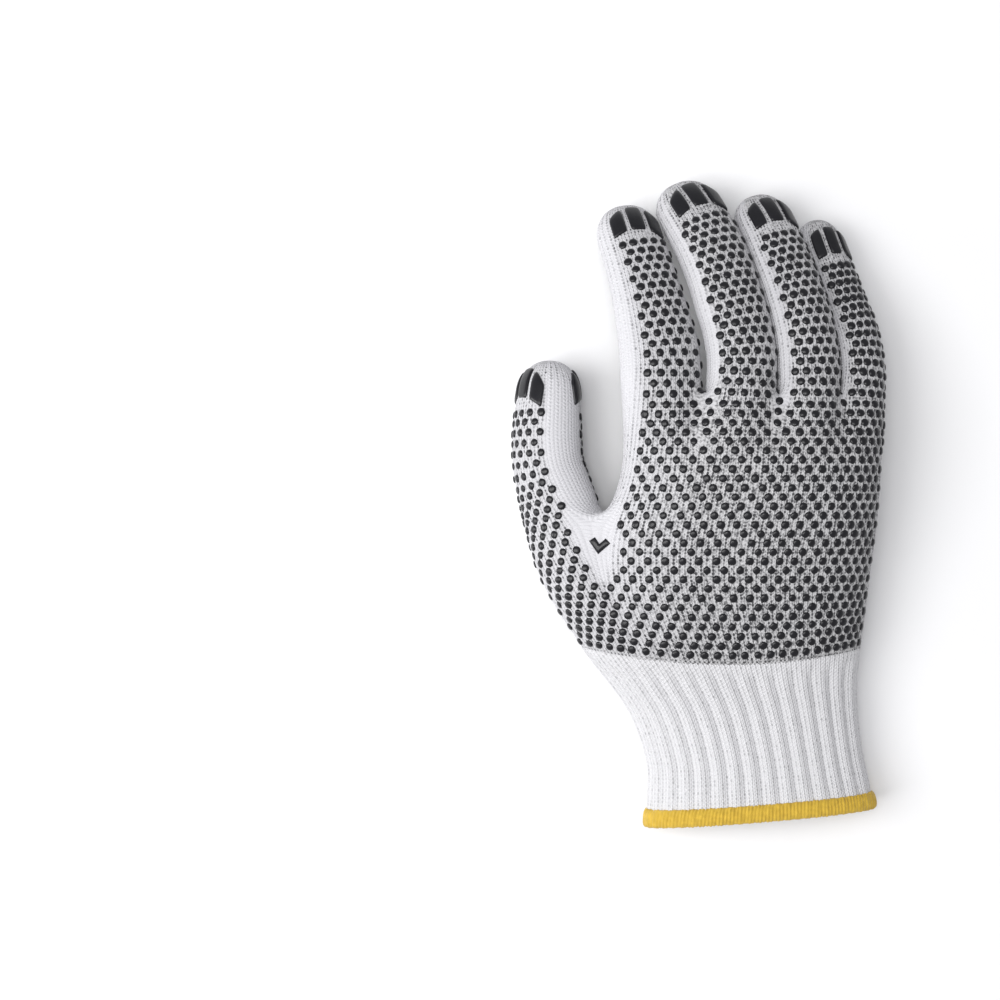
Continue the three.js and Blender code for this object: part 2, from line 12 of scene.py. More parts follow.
import bpy
import numpy as np
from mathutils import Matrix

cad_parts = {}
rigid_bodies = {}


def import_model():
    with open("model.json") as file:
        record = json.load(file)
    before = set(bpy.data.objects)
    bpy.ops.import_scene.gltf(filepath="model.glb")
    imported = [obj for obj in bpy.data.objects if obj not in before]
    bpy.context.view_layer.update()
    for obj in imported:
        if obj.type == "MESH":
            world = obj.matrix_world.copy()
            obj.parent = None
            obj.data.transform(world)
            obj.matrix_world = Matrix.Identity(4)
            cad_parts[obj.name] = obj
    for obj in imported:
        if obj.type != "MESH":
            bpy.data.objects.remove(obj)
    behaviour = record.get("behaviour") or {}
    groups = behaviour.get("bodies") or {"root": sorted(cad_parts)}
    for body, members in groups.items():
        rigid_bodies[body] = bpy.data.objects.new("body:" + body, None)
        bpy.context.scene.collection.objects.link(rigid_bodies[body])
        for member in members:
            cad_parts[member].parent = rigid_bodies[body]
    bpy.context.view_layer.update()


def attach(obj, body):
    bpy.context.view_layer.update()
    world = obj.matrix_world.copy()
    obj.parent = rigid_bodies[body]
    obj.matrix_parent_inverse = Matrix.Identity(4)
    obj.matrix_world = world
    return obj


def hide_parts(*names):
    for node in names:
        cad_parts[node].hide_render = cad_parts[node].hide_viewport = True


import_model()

BODY = "root"
METRES = 0.001
FRAME_SHIFT = np.array([0.228, -0.600, 0.0])  # from the tables' origin to the middle of the glove's box

log = logging.getLogger("glove")

KNIT_LIFT = 1.25  # the digits' knit lies this far above the floor, on its raised prints
POLE_LIFT = 3.25  # and the point where a tip closes this far at least
PRESS_GAP = 0.3
WALL = 1.6
INNER_LIFT = 0.2  # the knit's inner side stays this far above the floor
STRIP_WALES = 14  # knitted columns, or wales, across the back or the palm of one digit's strip
SIDE_WALES = 6  # wales round a side, from back to palm
WALE_STEPS = 3
ACROSS = STRIP_WALES * WALE_STEPS
AROUND = SIDE_WALES * WALE_STEPS
STEP_WALES = 1 / WALE_STEPS
HAND_SIDE_SHARE = 0.06
DIGIT_SIDE_SHARE = 2 / 9
THUMB_CROTCH = -8.5
FINGER_CROTCH = 36.5
CUFF_TOP = -57.0
HEM_TOP = -111.6
HEM_END = -117.6
CAP_LENGTH = 11.0
DIGIT_SQUARE = 2.3
COURSE = 1.32  # height of one knitted row
WALE_GROOVE = 0.16  # how deep the knit sinks between two wales
GROOVE_SHARE = 0.3  # and its largest share of the way between two points
STEP_LENGTH = 0.62  # the usual length between two neighbouring points of a ring
SPREAD_FROM = 1.15  # wales this many times as wide as usual begin to blur
SPREAD_RANGE = 0.45
EDGE_BOW = 5.0  # the knit's edge at the cuff sags this far in the middle
EDGE_RISE = 2.7  # and is this much higher at its ends
EDGE_REACH = 26.0  # the sag has faded this far from the edge
LOWER_ROWS = 24
UPPER_ROWS = 21
ROW_STEP = 2.2
CAP_ROWS = 10
CAP_TURN = 1.46  # radians of the tip's oval that the rings cover before the pole
CAP_POWER = 0.8
THUMB_BLEND = 0.85  # how far the hand's rings take on the thumb's form at its crotch
THUMB_START = CUFF_TOP + 1
FINGER_BLEND = 0.8
FINGER_START = 14.0
RELAX_ROUNDS = 30
RELAX_STEP = 0.4
RELAXED_ROWS = 4
FREE_FROM_CUFF = 3  # rows from the cuff to where the hand's points move freely
BACK_FACING = 0.3  # a normal that rises more than this belongs to the back
V_DEPTH = 20.0  # the bare V below the thumb's crotch
V_LEFT = 2.0
V_RIGHT = 3.6
THUMB_EDGE = 16.9  # the last printed wale on the thumb's back
THUMB_EDGE_TOP = 2.0  # below this y it draws in
THUMB_EDGE_RUN = 8.0
THUMB_EDGE_STEP = 1.2
THUMB_PALM_EDGE = 18.0
PRINT_ROOT = 0.35  # how deep a printed plate reaches into the knit
PRINT_EDGE = 0.02  # how far its rim stands out
TIPS = ("thumb", "index_finger", "middle_finger", "ring_finger", "little_finger")

Array = np.ndarray
Socket = bpy.types.NodeSocket
Value = Socket | float | tuple[float, ...]


@dataclass(frozen=True)
class SectionTable:
    """A short table of sections, one row for each, ordered by y."""

    columns: tuple[str, ...]
    rows: tuple[tuple[float, ...], ...]

    def read(self, name: str, y: Array) -> Array:
        """A cubic curve through one column, each row's slope taken from its neighbours.

        Args:
            name: The column.
            y: Where to read it.

        Returns:
            The column's value at each y; beyond the table it runs on straight.
        """
        y = np.asarray(y, float)
        levels = np.array([row[0] for row in self.rows])
        values = np.array([row[self.columns.index(name)] for row in self.rows])
        slopes = np.gradient(values) / np.gradient(levels)
        i = np.clip(np.searchsorted(levels, y, "right") - 1, 0, len(levels) - 2)
        span = levels[i + 1] - levels[i]
        t = (y - levels[i]) / span
        curve = (
            (2 * t**3 - 3 * t**2 + 1) * values[i]
            + (t**3 - 2 * t**2 + t) * span * slopes[i]
            + (3 * t**2 - 2 * t**3) * values[i + 1]
            + (t**3 - t**2) * span * slopes[i + 1]
        )
        before = values[0] + slopes[0] * (y - levels[0])
        after = values[-1] + slopes[-1] * (y - levels[-1])
        return np.where(y < levels[0], before, np.where(y > levels[-1], after, curve))


@dataclass(frozen=True)
class Sections:
    """Cross-sections, a row for each: centre, half width, half thickness, arch and squareness."""

    centre: Array
    across: Array
    through: Array
    arch: Array
    square: Array

    def outline(self, angle: Array) -> Array:
        """Points on the superellipse of each section.

        The share across is the cosine to the power 2 / square, the lift is the sine, and the arch raises
        the middle.

        Args:
            angle: Radians, a row for each section; half a turn is the left fold, a quarter the back's top.

        Returns:
            Points, one row for each section.
        """
        cosine = np.cos(angle)
        share = np.sign(cosine) * np.abs(cosine) ** (2 / self.square[:, None])
        points = self.centre[:, None] + share[..., None] * self.across[:, None]
        points = points + np.sin(angle)[..., None] * self.through[:, None]
        points[..., 2] += self.arch[:, None] * (1 - share**2)
        return points

    def ring(self, shares: Array, fine: int = 160) -> Array:
        """Points at shares of the back's length from left to right, then of the palm's from right to left.

        Args:
            shares: Shares from 0 to 1.
            fine: Steps in which each half is measured.

        Returns:
            Rings of points, one row for each section.
        """
        halves = []
        for start, wanted in ((math.pi, shares[:-1]), (0.0, 1 - shares[:0:-1])):
            angle = np.linspace(start, start - math.pi, fine + 1)
            points = self.outline(np.broadcast_to(angle, (len(self.arch), fine + 1)))
            steps = np.linalg.norm(np.diff(points, axis=1), axis=2)
            run = np.concatenate([np.zeros((len(steps), 1)), np.cumsum(steps, axis=1)], axis=1)
            halves.append(np.array([np.interp(wanted * r[-1], r, angle) for r in run]))
        return self.outline(np.concatenate(halves, axis=1))


WRIST = SectionTable(
    ("y", "left", "right", "middle", "thick", "slant", "arch", "square"),
    (
        (-118, -19.6, 66.9, 15.4, 31.5, 0.084, 0, 2.4),
        (-108, -18.6, 64.6, 15.0, 30.5, 0.075, 0, 2.4),
        (-95, -18.8, 62.0, 14.6, 29.8, 0.05, 0, 2.4),
        (-78, -25.0, 60.2, 14.8, 30.4, 0.02, 0, 2.6),
        (-66, -33.8, 59.9, 15.8, 32.4, 0, 0.5, 2.8),
        (-56, -42.0, 61.0, 17.0, 35.0, 0, 1.0, 3.0),
        (-39, -51.3, 63.3, 19.2, 38.0, 0, 1.5, 3.2),
        (-27, -57.0, 64.2, 21.0, 38.5, 0, 2.0, 3.3),
        (-13, -62.4, 65.8, 23.5, 38.0, 0, 3.0, 3.4),
        (-3, -65.4, 66.6, 25.5, 37.0, 0, 4.0, 3.4),
    ),
)
PALM = SectionTable(
    ("y", "left", "right", "middle", "thick", "slant", "arch", "square"),
    (
        (-45, -40.0, 62.5, 18.5, 37.0, 0, 1.5, 3.2),
        (-27, -38.0, 64.2, 21.5, 38.0, 0, 2.5, 3.2),
        (-13, -36.5, 65.8, 24.5, 37.5, 0, 3.5, 3.2),
        (-3, -34.0, 66.6, 26.5, 36.5, 0, 4.0, 3.2),
        (11, -29.2, 67.2, 28.5, 34.0, 0, 5.0, 3.2),
        (26, -28.7, 67.6, 29.5, 31.0, 0, 6.0, 3.2),
        (41, -29.1, 68.4, 29.5, 27.0, 0, 6.0, 3.2),
        (50, -29.2, 68.6, 29.0, 25.0, 0, 6.0, 3.2),
    ),
)
DIGIT_COLUMNS = ("y", "x", "z", "width", "thick", "roll")


def body_sections(table: SectionTable, y: Array) -> Sections:
    """Sections of the wrist or the palm, whose rows are wide and level.

    Args:
        table: The wrist's or the palm's rows.
        y: Where the sections are.

    Returns:
        One section for each y.
    """
    left, right = table.read("left", y), table.read("right", y)
    half = (right - left) / 2
    flat = np.zeros_like(half)
    return Sections(
        centre=np.stack([(left + right) / 2, y, table.read("middle", y)], axis=1),
        across=np.stack([half, half * table.read("slant", y), flat], axis=1),
        through=np.stack([flat, flat, table.read("thick", y) / 2], axis=1),
        arch=table.read("arch", y),
        square=table.read("square", y),
    )


@dataclass(frozen=True)
class Digit:
    """A finger or the thumb: its sections, where it ends, its share of the hand and its tip's print."""

    name: str
    tip: float
    share: float
    print_width: float
    print_shift: float
    palm_shift: float
    crotch: float
    table: SectionTable

    def centre(self, y: Array) -> Array:
        """The middle of the digit at y."""
        return np.stack([self.table.read("x", y), y, self.table.read("z", y)], axis=-1)

    def sections(self, y: Array, scale: Array) -> Sections:
        """Sections square to the digit's middle line, turned by its roll and shrunk by scale.

        Args:
            y: Where the sections are.
            scale: Share of their full size.

        Returns:
            One section for each y.
        """
        ahead = self.centre(y + 1) - self.centre(y - 1)
        ahead /= np.linalg.norm(ahead, axis=1, keepdims=True)
        side = np.cross(ahead, (0, 0, 1))
        side /= np.linalg.norm(side, axis=1, keepdims=True)
        face = np.cross(side, ahead)
        roll = np.radians(self.table.read("roll", y))[:, None]
        width = (scale * self.table.read("width", y) / 2)[:, None]
        thick = (scale * self.table.read("thick", y) / 2)[:, None]
        return Sections(
            centre=self.centre(y),
            across=(side * np.cos(roll) - face * np.sin(roll)) * width,
            through=(face * np.cos(roll) + side * np.sin(roll)) * thick,
            arch=np.zeros_like(y),
            square=np.full_like(y, DIGIT_SQUARE),
        )


def digit(
    name: str, tip: float, share: float, width: float, shifts: tuple[float, float], crotch: float,
    rows: tuple[tuple[float, ...], ...],
) -> Digit:
    """A digit from its rows; width and shifts, on the back and on the palm, are its prints'.

    Args:
        name: The digit's name.
        tip: Where it ends along y.
        share: Its strip's width against the other digits' strips.
        width: How wide its tip's print is.
        shifts: How far the print's middle lies to the right, on the back and on the palm.
        crotch: Where it leaves the hand along y.
        rows: Its sections, in the order of DIGIT_COLUMNS.

    Returns:
        The digit.
    """
    return Digit(name, tip, share, width, *shifts, crotch, SectionTable(DIGIT_COLUMNS, rows))


THUMB = digit(
    "thumb", 54.0, 0.215, 20.5, (0.0, 5.0), THUMB_CROTCH,
    (
        (-45, -44.5, 17.5, 27, 30, -8),
        (-27, -47.0, 16.5, 29, 28, -22),
        (-13, -49.6, 16.0, 30.5, 27, -36),
        (-3, -51.4, 15.6, 30.5, 26.5, -46),
        (5, -53.6, 15.4, 29, 26, -52),
        (14, -56.0, 15.2, 28, 25, -57),
        (24, -56.6, 15.0, 27.5, 24.5, -60),
        (35, -56.2, 14.2, 26, 23.5, -60),
        (45, -55.8, 13.2, 23.8, 21.4, -60),
        (54, -55.6, 12.4, 21.6, 19.4, -60),
    ),
)
FINGERS = (
    digit(
        "index_finger", 111.5, 0.286, 20.0, (1.8, 0.0), FINGER_CROTCH,
        (
            (20, -14.6, 32.0, 28.5, 28, 4),
            (41, -14.8, 33.0, 30.0, 22, 8),
            (55, -15.2, 32.0, 30.4, 19.5, 11),
            (69, -17.7, 29.4, 28.2, 18.6, 13),
            (79, -19.9, 26.4, 26.4, 18.2, 13),
            (91, -22.9, 21.4, 25.2, 17.8, 12),
            (101, -25.6, 15.9, 24.6, 17.2, 11),
            (113, -28.6, 8.6, 23.6, 16.2, 10),
        ),
    ),
    digit(
        "middle_finger", 120.2, 0.268, 20.5, (2.4, 0.0), FINGER_CROTCH,
        (
            (20, 13.6, 34.0, 25.5, 29, 3),
            (42, 14.6, 34.6, 26.0, 22.5, 6),
            (54, 15.0, 33.8, 26.2, 20, 8),
            (66, 13.2, 31.8, 26.2, 19, 10),
            (74, 10.9, 30.0, 26.2, 18.6, 11),
            (86, 7.6, 26.2, 26.0, 18.2, 12),
            (97, 3.7, 21.4, 25.9, 17.8, 12),
            (108, -1.5, 15.2, 25.9, 17.2, 12),
            (122, -9.0, 7.2, 25.2, 16.2, 12),
        ),
    ),
    digit(
        "ring_finger", 115.7, 0.242, 18.5, (2.2, 0.0), FINGER_CROTCH,
        (
            (20, 39.0, 31.8, 24.0, 28, 6),
            (42, 39.8, 32.6, 24.0, 21.5, 8),
            (54, 39.3, 31.6, 23.9, 19.2, 10),
            (66, 37.8, 29.4, 23.7, 18.4, 12),
            (82, 33.7, 24.6, 23.2, 17.6, 14),
            (95, 29.3, 18.9, 22.8, 17.0, 14),
            (105, 25.6, 13.7, 22.4, 16.4, 14),
            (117, 20.4, 7.6, 21.6, 15.6, 13),
        ),
    ),
    digit(
        "little_finger", 107.2, 0.204, 15.8, (2.0, 0.0), FINGER_CROTCH,
        (
            (20, 58.6, 27.4, 20.4, 24, 10),
            (42, 58.9, 26.6, 19.8, 18.6, 12),
            (51, 59.4, 25.2, 19.4, 17.0, 14),
            (63, 57.9, 22.2, 19.1, 16.2, 16),
            (76, 53.8, 18.0, 18.8, 15.6, 17),
            (88, 50.0, 13.8, 18.6, 15.2, 17),
            (97, 47.2, 10.6, 18.2, 14.8, 16),
            (108, 44.6, 7.2, 17.8, 14.2, 15),
        ),
    ),
)


def smooth(t: Array) -> Array:
    """The soft step: 0 below 0, 1 above 1, and three t squared less two t cubed between."""
    x = np.clip(t, 0, 1)
    return x * x * (3 - 2 * x)


def strip_shares(shares: list[float], side: float) -> Array:
    """Shares of the back's length at which a ring over these strips has its points.

    Args:
        shares: The width of each strip against the others.
        side: The share of the back's length that belongs to each side.

    Returns:
        Rising shares from 0 to 1.
    """
    half = AROUND // 2
    edges = side + (1 - 2 * side) * np.concatenate([[0], np.cumsum(shares)]) / sum(shares)
    strips = [np.linspace(a, b, ACROSS, endpoint=False) for a, b in zip(edges, edges[1:])]
    left = np.linspace(0, side, half, endpoint=False)
    return np.concatenate([left, *strips, np.linspace(1 - side, 1, half + 1)])


DIGIT_SHARES = strip_shares([1.0], DIGIT_SIDE_SHARE)
HAND_SHARES = strip_shares([THUMB.share, *(f.share for f in FINGERS)], HAND_SIDE_SHARE)
BODY_SHARES = strip_shares([f.share for f in FINGERS], HAND_SIDE_SHARE)


def bow_edge(rings: Array, y: Array) -> Array:
    """Slides the wrist's points along their columns, so that the knit's edge at the cuff is bowed.

    The slide is the rise of the ends less the bow times one less the square of the share across, and it
    fades with the distance from the edge.

    Args:
        rings: A ring of points for each y.
        y: Where the rings are, evenly spaced.

    Returns:
        The rings of the moved points.
    """
    x = rings[0, :, 0]
    share = 2 * (x - x.min()) / np.ptp(x) - 1
    fade = 1 - smooth(np.abs(y - CUFF_TOP) / EDGE_REACH)
    slide = fade[:, None] * (EDGE_RISE - EDGE_BOW * (1 - share**2))
    row = np.arange(len(y))[:, None] + slide / (y[1] - y[0])
    low = np.clip(np.floor(row).astype(int), 0, len(y) - 2)
    part = (row - low)[..., None]
    column = np.arange(rings.shape[1])
    return rings[low, column] * (1 - part) + rings[low + 1, column] * part


def press_apart(points: Array, own: Digit, gap: float) -> Array:
    """Flattens a finger where it meets its neighbours.

    A point past the plane between the two middle lines, split by their widths, moves back onto it.

    Args:
        points: Points of the finger.
        own: The finger.
        gap: The clear gap that stays between the two.

    Returns:
        The moved points.
    """
    if own not in FINGERS:
        return points
    k = FINGERS.index(own)
    moved = points.copy()
    for n in (k - 1, k + 1):
        if not 0 <= n < len(FINGERS):
            continue
        y = moved[..., 1]
        centre = own.centre(y)
        away = FINGERS[n].centre(y) - centre
        distance = np.linalg.norm(away, axis=-1)
        away /= distance[..., None]
        width, other = own.table.read("width", y), FINGERS[n].table.read("width", y)
        limit = distance * width / (width + other) - gap / 2
        reach = np.sum((moved - centre) * away, axis=-1)
        moved += np.minimum(limit - reach, 0)[..., None] * away
    return moved


def digit_rings(own: Digit, y: Array, scale: Array, gap: float) -> Array:
    """Rings of points round a digit, pressed off its neighbours and lifted off the floor.

    Args:
        own: The digit.
        y: Where the rings are.
        scale: Share of their full size.
        gap: The clear gap to its neighbours.

    Returns:
        A ring of points for each y.
    """
    rings = press_apart(own.sections(y, scale).ring(DIGIT_SHARES), own, gap)
    rings[..., 2] = np.maximum(rings[..., 2], KNIT_LIFT)
    return rings


def unit(vectors: Array) -> Array:
    """The vectors at length 1."""
    length = np.linalg.norm(vectors, axis=-1, keepdims=True)
    return vectors / np.where(length > 0, length, 1)


def face_sums(points: Array, faces: Array) -> Array:
    """The sum of the normals of each point's faces, weighted by their area.

    Args:
        points: All points.
        faces: Triangles or quads as rows of point numbers.

    Returns:
        A vector for each point.
    """
    corners = points[faces]
    face_normals = np.cross(corners[:, 2] - corners[:, 0], corners[:, -1] - corners[:, 1])
    sums = np.zeros_like(points)
    for k in range(faces.shape[1]):
        np.add.at(sums, faces[:, k], face_normals)
    return sums


def ring_part(ring: Array, first: int, strips: int, left: Array, right: Array) -> Array:
    """The part of a ring that covers some strips, closed by a chain of points on either side.

    Args:
        ring: A closed ring of points or of point numbers.
        first: The first strip.
        strips: How many strips.
        left: The chain on their left, from the back to the palm.
        right: The chain on their right.

    Returns:
        A closed ring over those strips.
    """
    half = AROUND // 2
    start = half + first * ACROSS
    steps = strips * ACROSS
    top = ring[start : start + steps + 1]
    bottom = ring[len(ring) - start - steps : len(ring) - start + 1]
    inner = left[1:-1][::-1]
    return np.concatenate([inner[half - 1 :], top, right[1:-1], bottom, inner[: half - 1]])


def left_side(ring: Array) -> Array:
    """The points of a ring's left side, from its back to its palm."""
    return np.take(ring, AROUND // 2 - np.arange(AROUND + 1), axis=0, mode="wrap")


def right_side(ring: Array) -> Array:
    """The points of a ring's right side, from its back to its palm."""
    middle = len(ring) // 2
    return ring[middle - AROUND // 2 : middle + AROUND // 2 + 1]


def put_mesh(
    name: str, points: Array, faces: list[Array], corner_uv: list[Array] | None = None,
) -> bpy.types.Object:
    """A smooth mesh object at the origin, from points in the tables' millimetres.

    Args:
        name: The piece's name.
        points: All points.
        faces: Arrays of faces, each with its own number of corners.
        corner_uv: The UV of each face corner, array for array.

    Returns:
        The new object, linked to the scene.
    """
    placed = (points + FRAME_SHIFT) * METRES
    mesh = bpy.data.meshes.new(name)
    mesh.from_pydata(placed.tolist(), [], [row for block in faces for row in block.tolist()])
    if corner_uv is not None:
        layer = mesh.uv_layers.new(name="knit")
        flat = np.concatenate([uv.reshape(-1, 2) for uv in corner_uv])
        layer.data.foreach_set("uv", flat.astype(np.float32).ravel())
    mesh.polygons.foreach_set("use_smooth", np.ones(len(mesh.polygons), bool))
    mesh.update()
    made = bpy.data.objects.new(name, mesh)
    bpy.context.scene.collection.objects.link(made)
    return made


@dataclass
class Panel:
    """Rings of the skin's points, stacked along one part of the glove."""

    name: str
    ids: Array
    first_strip: int
    course: Array = field(default_factory=lambda: np.zeros(0))
    points: Array = field(default_factory=lambda: np.zeros(0))
    normals: Array = field(default_factory=lambda: np.zeros(0))

    def sample(self, row: Array, column: Array) -> tuple[Array, Array]:
        """Points and normals between the rings' points, by bilinear mixing; columns wrap round.

        Args:
            row: Fractional row numbers.
            column: Fractional column numbers.

        Returns:
            Points and unit normals.
        """
        rows, columns = self.ids.shape
        r = np.clip(np.floor(row).astype(int), 0, rows - 2)
        c = np.floor(column).astype(int)
        up, right = (row - r)[..., None], (column - c)[..., None]
        found = []
        for grid in (self.points, self.normals):
            low = grid[r, c % columns] * (1 - right) + grid[r, (c + 1) % columns] * right
            high = grid[r + 1, c % columns] * (1 - right) + grid[r + 1, (c + 1) % columns] * right
            found.append(low * (1 - up) + high * up)
        return found[0], found[1] / np.linalg.norm(found[1], axis=-1, keepdims=True)

    def quads(self) -> tuple[Array, Array]:
        """The panel's faces as point numbers, and the knitted column and row at their corners.

        Returns:
            The point numbers of each face, and the UV of its corners.
        """
        low, high = self.ids[:-1], self.ids[1:]
        faces = np.stack([low, np.roll(low, -1, 1), np.roll(high, -1, 1), high], axis=-1)
        rows, columns = low.shape
        u = np.broadcast_to(np.arange(columns) * STEP_WALES, (rows, columns))
        v = np.broadcast_to(self.course[:-1, None], (rows, columns))
        w = np.broadcast_to(self.course[1:, None], (rows, columns))
        next_u = u + STEP_WALES
        corners = [(u, v), (next_u, v), (next_u, w), (u, w)]
        uv = np.stack([np.stack(corner, axis=-1) for corner in corners], axis=-2)
        return faces.reshape(-1, 4), uv.reshape(-1, 4, 2)


class KnitSkin:
    """The glove's knitted skin: rings of points that part at the crotches, as knitted tubes do."""

    def __init__(self) -> None:
        """Builds all rings, then softens the crotches."""
        self.blocks: list[Array] = []
        self.count = 0
        lower, thumb_chain = self.lower_hand()
        crotch_ring = lower.ids[-1]
        body_root = ring_part(crotch_ring, 1, len(FINGERS), thumb_chain, right_side(crotch_ring))
        upper = self.upper_hand(body_root)
        finger_ring = upper.ids[-1]
        chains = [left_side(finger_ring), *self.finger_chains(finger_ring), right_side(finger_ring)]
        thumb_root = ring_part(crotch_ring, 0, 1, left_side(crotch_ring), thumb_chain)
        self.poles: list[tuple[Panel, int]] = []
        digits = [self.digit_panel(THUMB, thumb_root, 0)]
        for k, own in enumerate(FINGERS):
            root = ring_part(finger_ring, k, 1, chains[k], chains[k + 1])
            digits.append(self.digit_panel(own, root, k + 1))
        self.panels = {panel.name: panel for panel in (lower, upper, *digits)}
        self.points = np.concatenate(self.blocks)
        self.relax(lower, upper, digits)
        self.number_courses(lower, upper, digits)
        self.finish()

    def add(self, points: Array) -> Array:
        """Adds points and returns their numbers in the same layout.

        Args:
            points: Points in any layout, with x, y and z last.

        Returns:
            Their numbers in the same layout.
        """
        flat = points.reshape(-1, 3)
        ids = np.arange(self.count, self.count + len(flat)).reshape(points.shape[:-1])
        self.blocks.append(flat)
        self.count += len(flat)
        return ids

    def chain(self, top: int, bottom: int, left: Array, right: Array) -> Array:
        """A chain of new points across a crotch, half way between the sides that part there."""
        return np.concatenate([[top], self.add((left[1:-1] + right[1:-1]) / 2), [bottom]])

    def lower_hand(self) -> tuple[Panel, Array]:
        """Rings from the cuff to the thumb's crotch, and the chain that parts the thumb.

        Returns:
            The panel, and the chain's point numbers from the back to the palm.
        """
        y = np.linspace(CUFF_TOP, THUMB_CROTCH, LOWER_ROWS)
        whole = body_sections(WRIST, y).ring(HAND_SHARES)
        body = body_sections(PALM, y).ring(BODY_SHARES)
        alone = digit_rings(THUMB, y, np.ones_like(y), 0)
        count, size = whole.shape[1], alone.shape[1]
        parting = AROUND // 2 + ACROSS
        i = np.arange(count)
        mirrored = np.minimum(i, count - i)
        own = alone[:, np.where(i <= count // 2, i, i - count + size) % size]
        rest = body[:, (i - ACROSS) % body.shape[1]]
        share = np.where(mirrored < parting, 1.0, np.where(mirrored > parting, 0.0, 0.5))[:, None]
        target = own * share + rest * (1 - share)
        weight = THUMB_BLEND * smooth((y - THUMB_START) / (THUMB_CROTCH - THUMB_START))
        rings = bow_edge(whole + (target - whole) * weight[:, None, None], y)
        ids = self.add(rings)
        sides = right_side(alone[-1]), left_side(body[-1])
        chain = self.chain(ids[-1, parting], ids[-1, count - parting], *sides)
        return Panel("lower_hand", ids, 0), chain

    def upper_hand(self, root: Array) -> Panel:
        """Rings from the thumb's crotch to the fingers' crotches.

        Args:
            root: The ring of point numbers that it starts from.

        Returns:
            The panel.
        """
        y = np.linspace(THUMB_CROTCH, FINGER_CROTCH, UPPER_ROWS)[1:]
        whole = body_sections(PALM, y).ring(BODY_SHARES)
        alone = np.stack([digit_rings(own, y, np.ones_like(y), 0) for own in FINGERS])
        count, size = whole.shape[1], alone.shape[2]
        i = np.arange(count)
        on_back = i <= count // 2
        step = np.where(on_back, i, count - i) - AROUND // 2
        target = np.zeros_like(whole)
        for owner in (np.ceil(step / ACROSS) - 1, np.floor(step / ACROSS)):
            k = np.clip(owner, 0, len(FINGERS) - 1).astype(int)
            place = step - k * ACROSS + AROUND // 2
            target += alone[k, :, np.where(on_back, place, size - place) % size].transpose(1, 0, 2) / 2
        weight = FINGER_BLEND * smooth((y - FINGER_START) / (FINGER_CROTCH - FINGER_START))
        rings = whole + (target - whole) * weight[:, None, None]
        ids = np.concatenate([root[None], self.add(rings)])
        return Panel("upper_hand", ids, 1)

    def finger_chains(self, ring: Array) -> list[Array]:
        """The chains that part neighbouring fingers, from left to right.

        Args:
            ring: The ring of point numbers at the fingers' crotches.

        Returns:
            The point numbers of each chain, from the back to the palm.
        """
        y = np.array([FINGER_CROTCH])
        alone = [digit_rings(own, y, np.ones(1), 0)[0] for own in FINGERS]
        chains = []
        for k in range(1, len(FINGERS)):
            parting = AROUND // 2 + k * ACROSS
            sides = right_side(alone[k - 1]), left_side(alone[k])
            chains.append(self.chain(ring[parting], ring[len(ring) - parting], *sides))
        return chains

    def digit_panel(self, own: Digit, root: Array, strip: int) -> Panel:
        """Rings from a digit's crotch to where its tip closes.

        Args:
            own: The digit.
            root: The ring of point numbers that it starts from.
            strip: The number of its strip, where the thumb's is 0.

        Returns:
            The panel.
        """
        cap_start = own.tip - CAP_LENGTH
        steps = round((cap_start - own.crotch) / ROW_STEP)
        y = np.linspace(own.crotch, cap_start, steps + 1)[1:]
        angle = np.linspace(0, 1, CAP_ROWS + 1)[1:] * CAP_TURN
        levels = np.concatenate([y, cap_start + CAP_LENGTH * np.sin(angle)])
        scale = np.concatenate([np.ones_like(y), np.cos(angle) ** CAP_POWER])
        ids = self.add(digit_rings(own, levels, scale, PRESS_GAP))
        pole = own.centre(np.array([own.tip]))
        pole[:, 2] = np.maximum(pole[:, 2], POLE_LIFT)
        panel = Panel(own.name, np.concatenate([root[None], ids]), strip)
        self.poles.append((panel, int(self.add(pole)[0])))
        return panel

    def relax(self, lower: Panel, upper: Panel, digits: list[Panel]) -> None:
        """Moves the hand's points towards the mean of their neighbours, which rounds the crotches.

        A point's freedom is 1 on the hand, 0 at the cuff, and fades out over the first rings of a digit.

        Args:
            lower: The panel from the cuff to the thumb's crotch.
            upper: The panel above it.
            digits: The digits' panels.
        """
        freedom = np.zeros(len(self.points))
        for panel in digits:
            rows = np.arange(len(panel.ids))[:, None]
            freedom[panel.ids] = np.maximum(freedom[panel.ids], 1 - smooth((rows - 1) / RELAXED_ROWS))
        freedom[lower.ids] = smooth(np.arange(len(lower.ids)) / FREE_FROM_CUFF)[:, None]
        freedom[upper.ids] = 1
        edges = np.concatenate([
            np.concatenate([
                np.stack([p.ids, np.roll(p.ids, -1, 1)], -1).reshape(-1, 2),
                np.stack([p.ids[:-1], p.ids[1:]], -1).reshape(-1, 2),
            ])
            for p in (lower, upper, *digits)
        ])
        edges = np.unique(np.sort(edges, axis=1), axis=0)
        first, second = edges.T
        degree = np.bincount(edges.ravel(), minlength=len(self.points))[:, None]
        for _ in range(RELAX_ROUNDS):
            total = np.zeros_like(self.points)
            np.add.at(total, first, self.points[second])
            np.add.at(total, second, self.points[first])
            mean = total / np.maximum(degree, 1)
            self.points += (mean - self.points) * RELAX_STEP * freedom[:, None]

